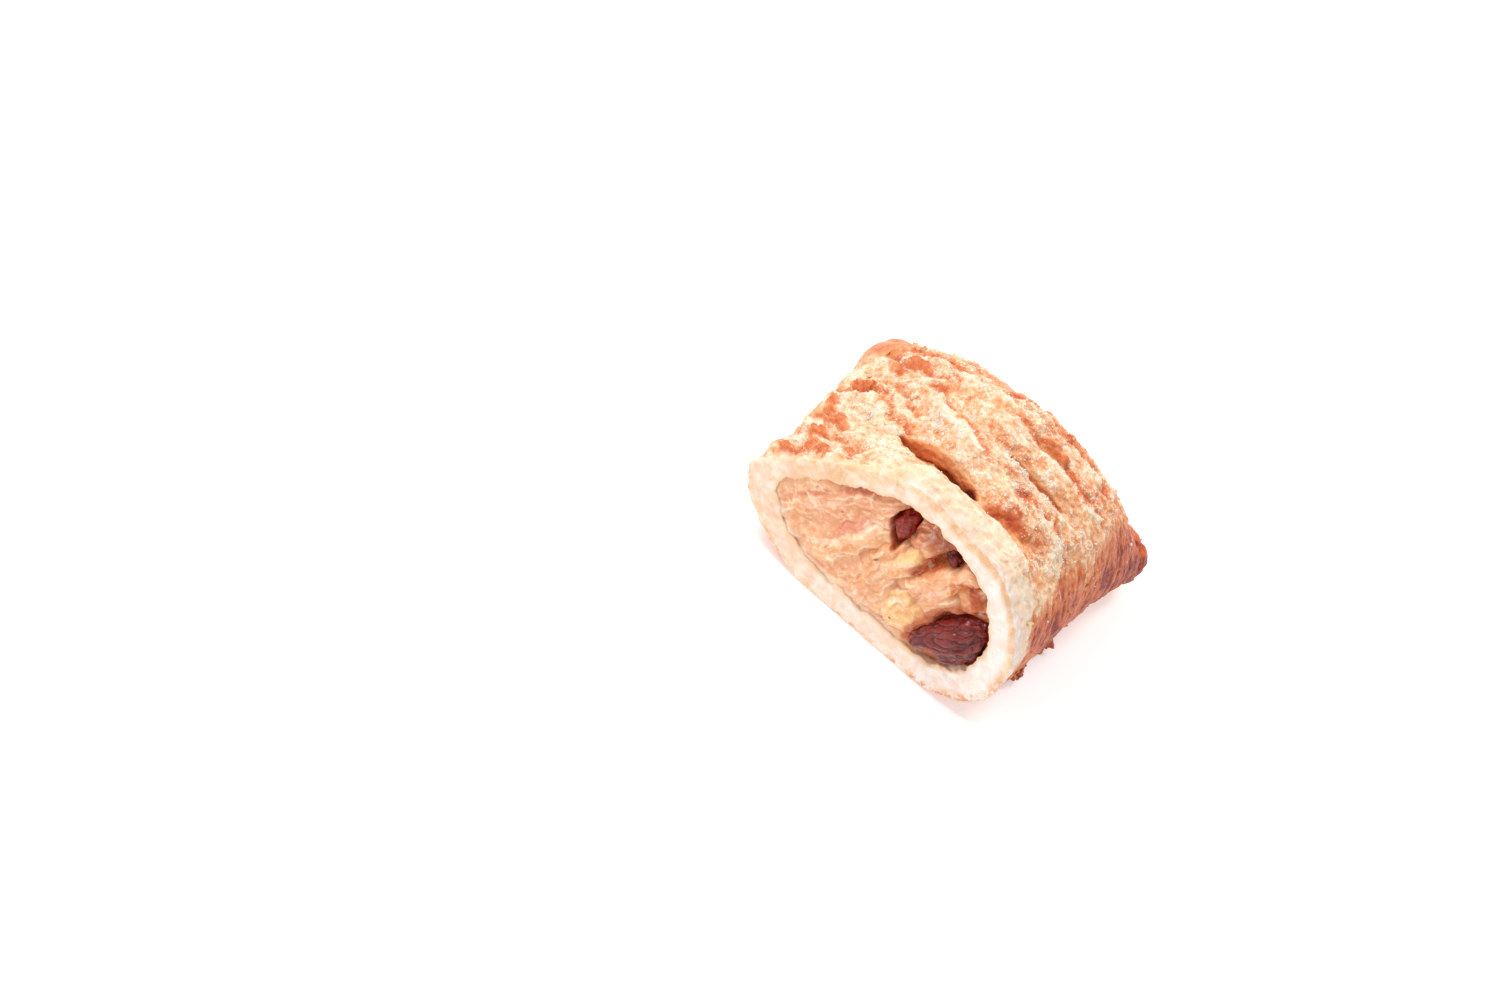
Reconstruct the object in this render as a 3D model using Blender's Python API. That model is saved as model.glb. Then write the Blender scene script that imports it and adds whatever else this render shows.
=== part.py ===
"""Half of a filled apple strudel: a puff pastry parcel cut across its middle.

The parcel lies on its flat base. Its cut face looks along -Y, its sealed end is at +Y and +Z is up.
The origin is the centre of its footprint on the table. Lengths below are in millimetres.
"""

import math

import bmesh
import bpy
from mathutils import Matrix, Vector, noise

MM = 0.001

# Outer size of the half parcel.
WIDTH = 64.6
HEIGHT = 40.5
LENGTH = 59.0

# The cross section: its peak lies right of centre, its widest points low down. The powers are the
# squareness of its corners, the top left one filling out towards the sealed end. The flattening is
# how much of the base the table takes off.
PEAK = 1.2
MIDDLE = 0.38
TOP_LEFT, TOP_RIGHT = 1.32, 2.2
TOP_LEFT_END = 2.1
BASE_LEFT, BASE_RIGHT = 1.78, 2.4
FLATTENING = 0.06

# The sealed end: pressed to a thick edge whose corners stand out like ears.
END_HEIGHT = 16.0
SEAM = 0.92
END_FALL = 5.6
END_STEEPNESS = 0.45
END_ROUNDING = 5.0
END_PULL = 3.4
FLARE_LEFT, FLARE_RIGHT = 4.4, 1.8
TOP_NARROWING = 1.0

# Pastry wall at the sides, over the filling, under it and at the sealed end.
SIDE_WALL = 6.2
TOP_WALL = 4.6
BASE_WALL = 5.6
END_WALL = 11.0

GAP = 0.45
OVERRUN = 6.0

# Slashes in the top sheet, each a bowed line: its middle across and along, length, width, depth,
# turn and bow, and whether it opened down to the filling.
SLASHES = {
    "front": dict(at=(-3.0, -17.3), length=28.0, width=7.4, depth=2.6, turn=-13, bow=-0.8, opened=True),
    "front_right": dict(at=(17.0, -18.0), length=18.0, width=6.0, depth=1.6, turn=16, bow=-0.8),
    "middle": dict(at=(11.4, -3.9), length=23.0, width=4.2, depth=2.3, turn=6, bow=-0.8, opened=True),
    "middle_left": dict(at=(-8.3, -2.0), length=18.0, width=5.2, depth=1.6, turn=-22, bow=0.0),
    "left": dict(at=(-16.6, -5.8), length=14.0, width=5.0, depth=1.3, turn=-28, bow=0.0),
    "front_left": dict(at=(-21.4, -12.2), length=12.0, width=5.0, depth=1.2, turn=-38, bow=0.0),
    "far": dict(at=(7.2, 9.5), length=20.0, width=4.8, depth=2.0, turn=2, bow=0.0),
    "far_left": dict(at=(-9.8, 11.5), length=15.0, width=5.0, depth=1.5, turn=-18, bow=0.0),
}
OPEN_LENGTH = 0.8
OPEN_WIDTH = 0.7
SLASH_CUT = 30.0
LIP_SHARE = 0.5
LIP_REACH = 0.9

# Knobs where the strips between the slashes end at the left edge.
KNOB_PITCH = 13.0
KNOB_START = -23.0
KNOB_HEIGHT = 1.1

# Juice that ran out at the right of the base and set there as a low foot, one long lobe with a bulge
# near each end: middle and half length along, and how far across its edge lies. It reaches furthest
# a little above the table, and the base follows it between two angles below the horizontal.
FOOT = [(-4.8, 9.8, 30.0), (-10.6, 4.2, 32.2), (0.6, 3.8, 31.8)]
FOOT_WIDEST = 1.8
FOOT_ROUNDING = 0.24
FOOT_UNDER = (54.0, 80.0)

# Raisins: centre and size, the first two in the cut face and the last under the front slash.
RAISINS = {
    "raisin_low": dict(at=(18.3, -27.4, 13.5), size=(17.0, 9.6, 9.8), turn=(0, -44, 0)),
    "raisin_high": dict(at=(-0.3, -25.2, 27.0), size=(5.2, 6.6, 9.4), turn=(0, -18, 0)),
    "raisin_edge": dict(at=(10.6, -25.0, 29.6), size=(5.2, 5.6, 4.2), turn=(0, 25, 30)),
    "raisin_slash": dict(at=(2.2, -17.6, 31.0), size=(9.0, 5.6, 5.6), turn=(0, 4, -14)),
}
WRINKLE = 0.55

# The room round a raisin and the depth of the well over it, where they aren't the plain gap.
POCKETS = {"raisin_low": (2.0, 0.0), "raisin_slash": (GAP, 8.0)}

# Mesh density.
AROUND_TOP, AROUND_BASE = 40, 20
RINGS = 29
CAVITY_AROUND = 36
FILLING_STATIONS = 12
CAP_RINGS = 8

COLOURS = {
    "pastry": (0.80, 0.47, 0.20, 1.0),
    "filling": (0.84, 0.58, 0.28, 1.0),
    "raisin": (0.10, 0.025, 0.02, 1.0),
}


def smooth(value, low, high):
    """0 below low and 1 above high, with an even turn between."""
    share = min(1.0, max(0.0, (value - low) / (high - low)))
    return share * share * (3.0 - 2.0 * share)


def power(value, exponent):
    return math.copysign(abs(value) ** exponent, value)


def section_point(angle, width, height, share):
    """A point of the cross section, as (across, up). Angle 0 is the right side and 90 degrees the top."""
    top_left = TOP_LEFT + (TOP_LEFT_END - TOP_LEFT) * smooth(share, 0.2, 1.0)
    across, up = math.cos(angle), math.sin(angle)
    right, top = smooth(across, -0.6, 0.6), smooth(up, -0.35, 0.35)
    left_side = BASE_LEFT + (top_left - BASE_LEFT) * top
    right_side = BASE_RIGHT + (TOP_RIGHT - BASE_RIGHT) * top
    exponent = 2.0 / (left_side + (right_side - left_side) * right)
    peak = PEAK * width / WIDTH
    x = peak + power(across, exponent) * (0.5 * width - math.copysign(peak, across))
    z = MIDDLE + power(up, exponent) * ((1.0 - MIDDLE) if up > 0 else MIDDLE + FLATTENING)
    return x, max(0.0, z) * height


def flare(x, z, share):
    """How far the sides move outwards on the way to the sealed end, most of all low down."""
    low = 1.0 - smooth(z, 0.7 * END_HEIGHT, 1.8 * END_HEIGHT)
    reach = FLARE_LEFT if x < 0 else FLARE_RIGHT
    outwards = (reach * low - TOP_NARROWING * (1.0 - low)) * smooth(share, 0.4, 1.0)
    return outwards * 2.0 * x / WIDTH


def height_at(share):
    share = min(1.0, share / SEAM)
    fall = (1.0 - share**END_FALL) ** END_STEEPNESS
    return END_HEIGHT + (HEIGHT - END_HEIGHT) * fall


def slash_distance(slash, x, y):
    """How far a point of the top lies from a slash, where 1 is on its rim."""
    turn = math.radians(slash["turn"])
    dx, dy = x - slash["at"][0], y - slash["at"][1]
    along = 2.0 * (dx * math.cos(turn) + dy * math.sin(turn)) / slash["length"]
    beside = dy * math.cos(turn) - dx * math.sin(turn) - slash["bow"] * (1.0 - along**2)
    return math.hypot(along, 2.0 * beside / slash["width"])


def relief(x, y):
    """How far the slashed top rises or sinks: hollows along the slashes, puffed lips round them."""
    rise = 0.0
    for slash in SLASHES.values():
        away = slash_distance(slash, x, y)
        rise -= slash["depth"] * math.exp(-(away**2))
        rise += LIP_SHARE * slash["depth"] * math.exp(-(((away - 1.7) / LIP_REACH) ** 2))
    return rise


def foot(angle, x, y, z):
    """How far the base reaches out past its plain shape where juice has set against it."""
    reach = 0.0
    for middle, half_length, edge in FOOT:
        share = math.exp(-(abs((y - middle) / half_length) ** 3))
        edge -= FOOT_ROUNDING * (z - FOOT_WIDEST) ** 2
        reach = max(reach, share * (edge - x))
    below = -math.degrees(math.asin(min(0.0, math.sin(angle))))
    return reach * (1.0 - smooth(below, *FOOT_UNDER)) if math.cos(angle) > 0.0 else 0.0


def ring_angles():
    """The angles round the outside, closer together over the top than under the base."""
    over = [math.pi * step / AROUND_TOP for step in range(AROUND_TOP)]
    under = [math.pi * (1.0 + step / AROUND_BASE) for step in range(AROUND_BASE)]
    return over + under


def outer_ring(share, shrink=0.0, push=0.0):
    """One ring of the outside, a share of the way from the cut to the sealed end."""
    height = height_at(share) - 2.0 * shrink
    ring = []
    for angle in ring_angles():
        x, z = section_point(angle, WIDTH - 2.0 * shrink, height, share)
        x += flare(x, z, share)
        z += shrink
        y = LENGTH * (share - 0.5) + push
        y -= END_PULL * smooth(share, 0.5, 1.0) * (1.0 - (2.0 * x / WIDTH) ** 2)
        facing_up = smooth(math.sin(angle), 0.25, 0.75)
        lump = noise.noise(Vector((x, y, z)) / 11.0)
        z += facing_up * (relief(x, y) * smooth(1.0 - share, 0.0, 0.2) + 1.2 * lump)
        x += 0.8 * lump * (1.0 - facing_up)
        if x < 0.0:
            knob = KNOB_HEIGHT * math.cos(math.pi * (y - KNOB_START) / KNOB_PITCH) ** 2
            edge = math.exp(-(((angle - math.radians(160)) / 0.28) ** 2))
            x -= knob * edge
            z += 0.7 * knob * edge
        x += foot(angle, x, y, z)
        ring.append(Vector((x, y, z)))
    return ring


def cavity_ring(share, clearance=0.0):
    """One ring of the space inside the pastry. The filling has the same rings, less a clearance."""
    at = share * (1.0 - END_WALL / LENGTH)
    close = math.sqrt(max(0.0, 1.0 - max(0.0, (share - 0.72) / 0.29) ** 2))
    width = (WIDTH - 2.0 * SIDE_WALL) * (0.35 + 0.65 * close) - 2.0 * clearance
    top, base = height_at(at) - TOP_WALL, BASE_WALL
    height = (top - base) * (0.18 + 0.82 * close) - 2.0 * clearance
    ring = []
    for step in range(CAVITY_AROUND):
        x, z = section_point(2.0 * math.pi * step / CAVITY_AROUND, width, height, at)
        ring.append(Vector((x, LENGTH * (at - 0.5), z + base + clearance)))
    return ring


def loft(name, rings, triangles=False):
    """A closed object through rings of equal length, with a fan over each end."""
    mesh = bmesh.new()
    rows = [[mesh.verts.new(point * MM) for point in ring] for ring in rings]
    count = len(rings[0])
    for near, far in zip(rows, rows[1:]):
        for i in range(count):
            j = (i + 1) % count
            mesh.faces.new((near[i], near[j], far[j], far[i]))
    for row in (rows[0], rows[-1]):
        centre = mesh.verts.new(sum((v.co for v in row), Vector()) / count)
        for i in range(count):
            mesh.faces.new((row[i], row[(i + 1) % count], centre))
    if triangles:
        bmesh.ops.triangulate(mesh, faces=mesh.faces)
    bmesh.ops.recalc_face_normals(mesh, faces=mesh.faces)
    data = bpy.data.meshes.new(name)
    mesh.to_mesh(data)
    mesh.free()
    data.shade_smooth()
    data.set_sharp_from_angle(angle=math.radians(66))
    return bpy.data.objects.new(name, data)


def outside():
    """The whole parcel without its cavity, rounded over at the sealed end."""
    rings = [outer_ring(i / RINGS) for i in range(RINGS + 1)]
    for turn in (30, 60, 80):
        angle = math.radians(turn)
        shrink = END_ROUNDING * (1.0 - math.cos(angle))
        rings.append(outer_ring(1.0, shrink, END_ROUNDING * math.sin(angle)))
    return loft("pastry_crust", rings)


def cavity():
    rings = [cavity_ring(i / FILLING_STATIONS) for i in range(FILLING_STATIONS + 1)]
    mouth = [point - Vector((0.0, OVERRUN, 0.0)) for point in rings[0]]
    return loft("cavity", [mouth] + rings[1:])


def slash_cutter(name, slash):
    """A lens as long as the slash, deep enough to open the top sheet over the filling."""
    mesh = bmesh.new()
    bmesh.ops.create_cone(
        mesh, cap_ends=True, segments=16, radius1=0.5, radius2=0.5, depth=1.0
    )
    for vertex in mesh.verts:
        pinch = 1.0 - (2.0 * vertex.co.x) ** 2
        vertex.co.y *= 0.35 + 0.65 * max(0.0, pinch)
        vertex.co.y += slash["bow"] * pinch / (OPEN_WIDTH * slash["width"])
    opening = (OPEN_LENGTH * slash["length"], OPEN_WIDTH * slash["width"], SLASH_CUT)
    mesh.transform(Matrix.Diagonal(Vector(opening) * MM).to_4x4())
    data = bpy.data.meshes.new(name)
    mesh.to_mesh(data)
    mesh.free()
    cutter = bpy.data.objects.new(name, data)
    x, y = slash["at"]
    cutter.location = Vector((x, y, height_at(y / LENGTH + 0.5))) * MM
    cutter.rotation_euler = (0.0, 0.0, math.radians(slash["turn"]))
    return cutter


def front_relief(x, z):
    """How far the cut filling stands back from the cut, lumpy as torn apple is."""
    lumps = noise.noise(Vector((x / 9.0, 3.7, z / 7.0))) + 0.5 * noise.noise(
        Vector((x / 4.5, 9.1, z / 4.0))
    )
    hollow = math.exp(-(((x - 8.0) / 9.0) ** 2) - ((z - 34.0) / 5.5) ** 2)
    return 1.6 - 1.5 * lumps + 4.5 * hollow


def filling():
    """The apple filling, which runs through the half and shows at the cut and in the slashes."""
    rings = []
    for i in range(FILLING_STATIONS, -1, -1):
        rings.append(cavity_ring(i / FILLING_STATIONS, GAP))
    for point in rings[0]:
        point.y -= GAP
    mouth = rings[-1]
    centre = sum(mouth, Vector()) / len(mouth)
    for i in range(CAP_RINGS):
        spread = 1.0 - i / CAP_RINGS
        rings.append([centre + (point - centre) * spread for point in mouth])
    for ring in rings[FILLING_STATIONS + 1 :]:
        for point in ring:
            point.y += front_relief(point.x, point.z)
    del rings[FILLING_STATIONS]
    return loft("apple_filling", rings, triangles=True)


def raisin(name, at, size, turn, room=0.0, well=0.0):
    """A plump wrinkled raisin, or with some room round it the pocket for one."""
    mesh = bmesh.new()
    bmesh.ops.create_uvsphere(mesh, u_segments=16, v_segments=10, radius=1.0)
    for vertex in mesh.verts:
        away = vertex.co.copy()
        fold = noise.noise(Vector((3.0 * away.x, 3.0 * away.y, 1.5 * away.z)) + Vector(at))
        half = Vector([0.5 * side for side in size])
        length = half * away.normalized()
        vertex.co = (length + away * (WRINKLE * fold + room)) * MM
        if away.z > 0.0:
            vertex.co.z += well * MM
    bmesh.ops.triangulate(mesh, faces=mesh.faces)
    data = bpy.data.meshes.new(name)
    mesh.to_mesh(data)
    mesh.free()
    data.shade_smooth()
    made = bpy.data.objects.new(name, data)
    made.location = Vector(at) * MM
    made.rotation_euler = [math.radians(angle) for angle in turn]
    return made


def material(name, roughness):
    made = bpy.data.materials.new(name)
    made.use_nodes = True
    shader = made.node_tree.nodes["Principled BSDF"]
    shader.inputs["Base Color"].default_value = COLOURS[name]
    shader.inputs["Roughness"].default_value = roughness
    return made


def collection(name):
    made = bpy.data.collections.new(name)
    bpy.context.scene.collection.children.link(made)
    return made


def cut(target, cutter, cutters):
    """Takes the cutter's shape out of the target."""
    if cutter.name not in cutters.objects:
        cutters.objects.link(cutter)
    cutter.hide_render = True
    cutter.display_type = "WIRE"
    boolean = target.modifiers.new(cutter.name, "BOOLEAN")
    boolean.operation = "DIFFERENCE"
    boolean.object = cutter


def centre_on_table(parts, cutters):
    """Moves everything together so that the box round the parts stands centred on the origin."""
    corners = [part.matrix_basis @ Vector(corner) for part in parts for corner in part.bound_box]
    low = Vector([min(corner[k] for corner in corners) for k in range(3)])
    high = Vector([max(corner[k] for corner in corners) for k in range(3)])
    shift = Vector((-(low.x + high.x) / 2, -(low.y + high.y) / 2, -low.z))
    for piece in parts + cutters:
        piece.location += shift


def main():
    for old in list(bpy.data.objects):
        bpy.data.objects.remove(old)
    strudel = collection("apple_strudel")
    cutters = collection("cutters")

    crust = outside()
    apple = filling()
    cut(crust, cavity(), cutters)
    for name, slash in SLASHES.items():
        if slash.get("opened"):
            cut(crust, slash_cutter("opening_" + name, slash), cutters)
    raisins = []
    for name, shape in RAISINS.items():
        raisins.append(raisin(name, **shape))
        room, well = POCKETS.get(name, (GAP, 0.0))
        cut(apple, raisin("pocket_" + name, **shape, room=room, well=well), cutters)

    crust.data.materials.append(material("pastry", 0.6))
    apple.data.materials.append(material("filling", 0.35))
    dark = material("raisin", 0.3)
    for fruit in raisins:
        fruit.data.materials.append(dark)
    for part in [crust, apple] + raisins:
        strudel.objects.link(part)
    centre_on_table(list(strudel.objects), list(cutters.objects))


main()
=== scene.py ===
"""Looks for the half apple strudel: baked crust, stewed apple, raisins, sugar, flakes and crumbs.

Lengths are in millimetres until a mesh is written, and in metres for the lamps and the camera.
The cut face looks along -Y, +Z is up.
"""

import math
from types import SimpleNamespace

import bmesh
import bpy
import numpy as np
from mathutils import Matrix, Vector
from mathutils.bvhtree import BVHTree


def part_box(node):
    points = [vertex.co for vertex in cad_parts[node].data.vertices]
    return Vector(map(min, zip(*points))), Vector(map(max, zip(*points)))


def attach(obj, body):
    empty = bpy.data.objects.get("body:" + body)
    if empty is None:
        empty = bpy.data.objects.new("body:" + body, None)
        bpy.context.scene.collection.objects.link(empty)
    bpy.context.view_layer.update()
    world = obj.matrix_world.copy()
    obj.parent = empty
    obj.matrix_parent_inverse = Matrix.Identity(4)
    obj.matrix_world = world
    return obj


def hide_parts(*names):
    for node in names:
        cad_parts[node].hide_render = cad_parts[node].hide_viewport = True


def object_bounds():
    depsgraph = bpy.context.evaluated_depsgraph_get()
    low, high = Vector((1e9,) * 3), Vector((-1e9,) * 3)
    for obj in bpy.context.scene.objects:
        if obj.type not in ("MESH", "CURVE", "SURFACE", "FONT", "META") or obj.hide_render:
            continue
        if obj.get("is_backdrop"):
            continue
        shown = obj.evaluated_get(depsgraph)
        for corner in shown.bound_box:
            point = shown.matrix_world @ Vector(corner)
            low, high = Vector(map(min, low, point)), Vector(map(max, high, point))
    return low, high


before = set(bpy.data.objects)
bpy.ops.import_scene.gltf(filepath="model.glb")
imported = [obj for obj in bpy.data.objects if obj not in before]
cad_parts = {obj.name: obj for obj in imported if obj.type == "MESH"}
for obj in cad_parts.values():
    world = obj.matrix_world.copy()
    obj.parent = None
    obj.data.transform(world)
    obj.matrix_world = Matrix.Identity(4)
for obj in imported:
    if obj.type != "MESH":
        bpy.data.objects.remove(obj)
CAD_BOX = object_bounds()
MM = 0.001

# How fine the meshes are: a voxel's or a grid's step, and the share of hidden faces kept.
CRUST_VOXEL = 0.45
CRUST_SHARE = 0.72
BODY_VOXEL = 0.7
APPLE_STEP = 0.18

# How many crystals, flakes and beads are scattered.
SUGAR_COUNT = 2200
FLAKE_COUNT = 110
CARAMEL_COUNT = 60

# Half the floor's side, and how far it lies under the base.
FLOOR_HALF = 3000.0
FLOOR_GAP = 0.2

# ---------------------------------------- numbers and noise

RANDOM = np.random.default_rng(11)
PERM = RANDOM.permutation(256)
PERM = np.concatenate([PERM, PERM, PERM])
GRAD = RANDOM.normal(size=(256, 3))
GRAD /= np.linalg.norm(GRAD, axis=1)[:, None]


def smooth(value, low, high):
    """0 below low and 1 above high, with an even turn between."""
    share = np.clip((value - low) / (high - low), 0.0, 1.0)
    return share * share * (3.0 - 2.0 * share)


def bell(value, width):
    """1 at 0, falling away evenly to both sides."""
    return np.exp(-((value / width) ** 2))


def mix(a, b, share):
    return a + (b - a) * share


def perlin(points, size, seed=0):
    """Gradient noise, about -1 to 1. The size is one number, or one for each axis."""
    p = points / np.asarray(size, float) + np.array([17.3, 5.9, 11.1]) * (seed + 1)
    whole = np.floor(p).astype(int)
    f = p - whole
    u = f * f * f * (f * (f * 6.0 - 15.0) + 10.0)
    whole &= 255
    total = np.zeros(len(p))
    for i in (0, 1):
        a = PERM[whole[:, 0] + i]
        wx = u[:, 0] if i else 1.0 - u[:, 0]
        for j in (0, 1):
            b = PERM[a + whole[:, 1] + j]
            wy = u[:, 1] if j else 1.0 - u[:, 1]
            for k in (0, 1):
                g = GRAD[PERM[b + whole[:, 2] + k]]
                wz = u[:, 2] if k else 1.0 - u[:, 2]
                reach = f - np.array([i, j, k])
                total += wx * wy * wz * np.einsum("ij,ij->i", g, reach)
    return total * 1.7


def fractal(points, size, octaves=3, seed=0, gain=0.5):
    total, weight = 0.0, 1.0
    for octave in range(octaves):
        total = total + weight * perlin(points, np.asarray(size) / 2.0**octave, seed + 7 * octave)
        weight *= gain
    return total


def ridged(points, size, seed=0):
    """Noise with sharp crests, 0 to 1."""
    return 1.0 - np.abs(np.clip(perlin(points, size, seed), -1.0, 1.0))


def drift(noise, points, size, seeds, *octaves):
    """Noise as one column for each seed, to shift points about."""
    return np.stack([noise(points, size, *octaves, seed) for seed in seeds], axis=1)


def turned(flat, cx, cy, turn):
    """How far flat points lie along and beside a line through (cx, cy) that is turned so far."""
    angle = math.radians(turn)
    dx, dy = flat[:, 0] - cx, flat[:, 1] - cy
    return dx * math.cos(angle) + dy * math.sin(angle), dy * math.cos(angle) - dx * math.sin(angle)


def cells(points, size, seed=0):
    """Distance to the nearest of scattered points, and to the next one, in cell sizes."""
    p = points / np.asarray(size, float) + 31.7 * (seed + 1)
    whole = np.floor(p).astype(int)
    near = np.full(len(p), 9.0)
    next_near = np.full(len(p), 9.0)
    for i in (-1, 0, 1):
        for j in (-1, 0, 1):
            for k in (-1, 0, 1):
                cell = whole + np.array([i, j, k])
                c = cell & 255
                index = PERM[PERM[PERM[c[:, 0]] + c[:, 1]] + c[:, 2]]
                centre = cell + 0.5 + 0.45 * GRAD[index]
                away = np.linalg.norm(p - centre, axis=1)
                next_near = np.minimum(next_near, np.maximum(near, away))
                near = np.minimum(near, away)
    return near, next_near


# ---------------------------------------- mesh helpers


def mesh_of(name, verts, faces):
    mesh = bpy.data.meshes.new(name)
    mesh.from_pydata((verts * MM).tolist(), [], faces)
    return mesh


def new_object(name, mesh, material):
    made = bpy.data.objects.new(name, mesh)
    bpy.context.scene.collection.objects.link(made)
    made.data.materials.clear()
    made.data.materials.append(material)
    return made


def points_of(mesh):
    co = np.empty(len(mesh.vertices) * 3)
    mesh.vertices.foreach_get("co", co)
    return co.reshape(-1, 3) / MM


def set_points(mesh, points):
    mesh.vertices.foreach_set("co", (points * MM).ravel())
    mesh.update()


def normals_of(mesh):
    out = np.empty(len(mesh.vertices) * 3)
    mesh.vertex_normals.foreach_get("vector", out)
    return out.reshape(-1, 3)


def edges_of(mesh):
    out = np.empty(len(mesh.edges) * 2, int)
    mesh.edges.foreach_get("vertices", out)
    return out.reshape(-1, 2)


def relax(points, edges, times, strength=0.5):
    """Moves each vertex towards the middle of its neighbours."""
    count = np.bincount(edges.ravel(), minlength=len(points)).astype(float)[:, None]
    for _ in range(times):
        total = np.zeros_like(points)
        for k in range(points.shape[1]):
            total[:, k] = np.bincount(edges[:, 0], points[edges[:, 1], k], len(points))
            total[:, k] += np.bincount(edges[:, 1], points[edges[:, 0], k], len(points))
        points = points + strength * (total / np.maximum(count, 1.0) - points)
    return points


def set_value(mesh, name, values):
    layer = mesh.attributes.new(name, "FLOAT", "POINT")
    layer.data.foreach_set("value", values.astype(np.float32))


def set_colour(mesh, name, colours):
    layer = mesh.attributes.new(name, "FLOAT_COLOR", "POINT")
    full = np.ones((len(colours), 4), np.float32)
    full[:, :3] = colours
    layer.data.foreach_set("color", full.ravel())


def welded(node):
    """A CAD node's mesh, with vertices that lie in one place made one."""
    mesh = bmesh.new()
    mesh.from_mesh(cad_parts[node].data)
    bmesh.ops.remove_doubles(mesh, verts=mesh.verts, dist=1e-6)
    return mesh


def changed(mesh, kind, limited_to=None, **settings):
    """The mesh after one modifier, which may be limited to some of the vertices."""
    holder = bpy.data.objects.new("holder", mesh)
    bpy.context.scene.collection.objects.link(holder)
    modifier = holder.modifiers.new("change", kind)
    for key, value in settings.items():
        setattr(modifier, key, value)
    if limited_to is not None:
        group = holder.vertex_groups.new(name="limited_to")
        group.add(limited_to.tolist(), 1.0, "REPLACE")
        modifier.vertex_group = group.name
    graph = bpy.context.evaluated_depsgraph_get()
    made = bpy.data.meshes.new_from_object(holder.evaluated_get(graph))
    bpy.data.objects.remove(holder)
    return made


def remeshed(node, voxel):
    """A fine, even copy of a CAD node's mesh."""
    mesh = welded(node)
    coarse = bpy.data.meshes.new(node + "_coarse")
    mesh.to_mesh(coarse)
    mesh.free()
    return changed(coarse, "REMESH", mode="VOXEL", voxel_size=voxel * MM, use_smooth_shade=True)


def cut_outlines():
    """The outer and inner outlines of the crust at the cut, as closed rows of (x, z) points."""
    mesh = welded("pastry_crust")
    low = min(v.co.y for v in mesh.verts)
    on_cut = {f for f in mesh.faces if f.normal.y < -0.9 and f.calc_center_median().y < low + 2e-4}
    rim = [e for e in mesh.edges if len(on_cut.intersection(e.link_faces)) == 1]
    loops, left = [], set(rim)
    while left:
        edge = left.pop()
        row = [edge.verts[0], edge.verts[1]]
        while True:
            following = [e for e in row[-1].link_edges if e in left]
            if not following:
                break
            left.discard(following[0])
            row.append(following[0].other_vert(row[-1]))
        loops.append(np.array([(v.co.x / MM, v.co.z / MM) for v in row[:-1]]))
    mesh.free()
    loops.sort(key=lambda row: -np.ptp(row[:, 0]))
    return loops[0], loops[1], low / MM


def outline_distance(points, outline):
    """Distance of (x, z) points to a closed outline, below 0 inside it, and the way out of it."""
    best = np.full(len(points), 1e9)
    nearest = np.zeros_like(points)
    inside = np.zeros(len(points), bool)
    for a, b in zip(outline, np.roll(outline, -1, axis=0)):
        side = b - a
        length = max(1e-9, side @ side)
        t = np.clip(((points - a) @ side) / length, 0.0, 1.0)
        foot = a + t[:, None] * side
        away = np.linalg.norm(points - foot, axis=1)
        nearest = np.where((away < best)[:, None], foot, nearest)
        best = np.minimum(best, away)
        crosses = (a[1] > points[:, 1]) != (b[1] > points[:, 1])
        rise = b[1] - a[1] if abs(b[1] - a[1]) > 1e-12 else 1e-12
        at = a[0] + (points[:, 1] - a[1]) / rise * side[0]
        inside ^= crosses & (points[:, 0] < at)
    sign = np.where(inside, -1.0, 1.0)
    outwards = (points - nearest) * sign[:, None] / np.maximum(best, 1e-6)[:, None]
    return sign * best, outwards


def rgb(r, g, b):
    """A colour given as 0 to 255 screen values, as the shader wants it."""
    def one(value):
        value /= 255.0
        return value / 12.92 if value <= 0.04045 else ((value + 0.055) / 1.055) ** 2.4

    return np.array([one(r), one(g), one(b)])


# ---------------------------------------- materials


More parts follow.
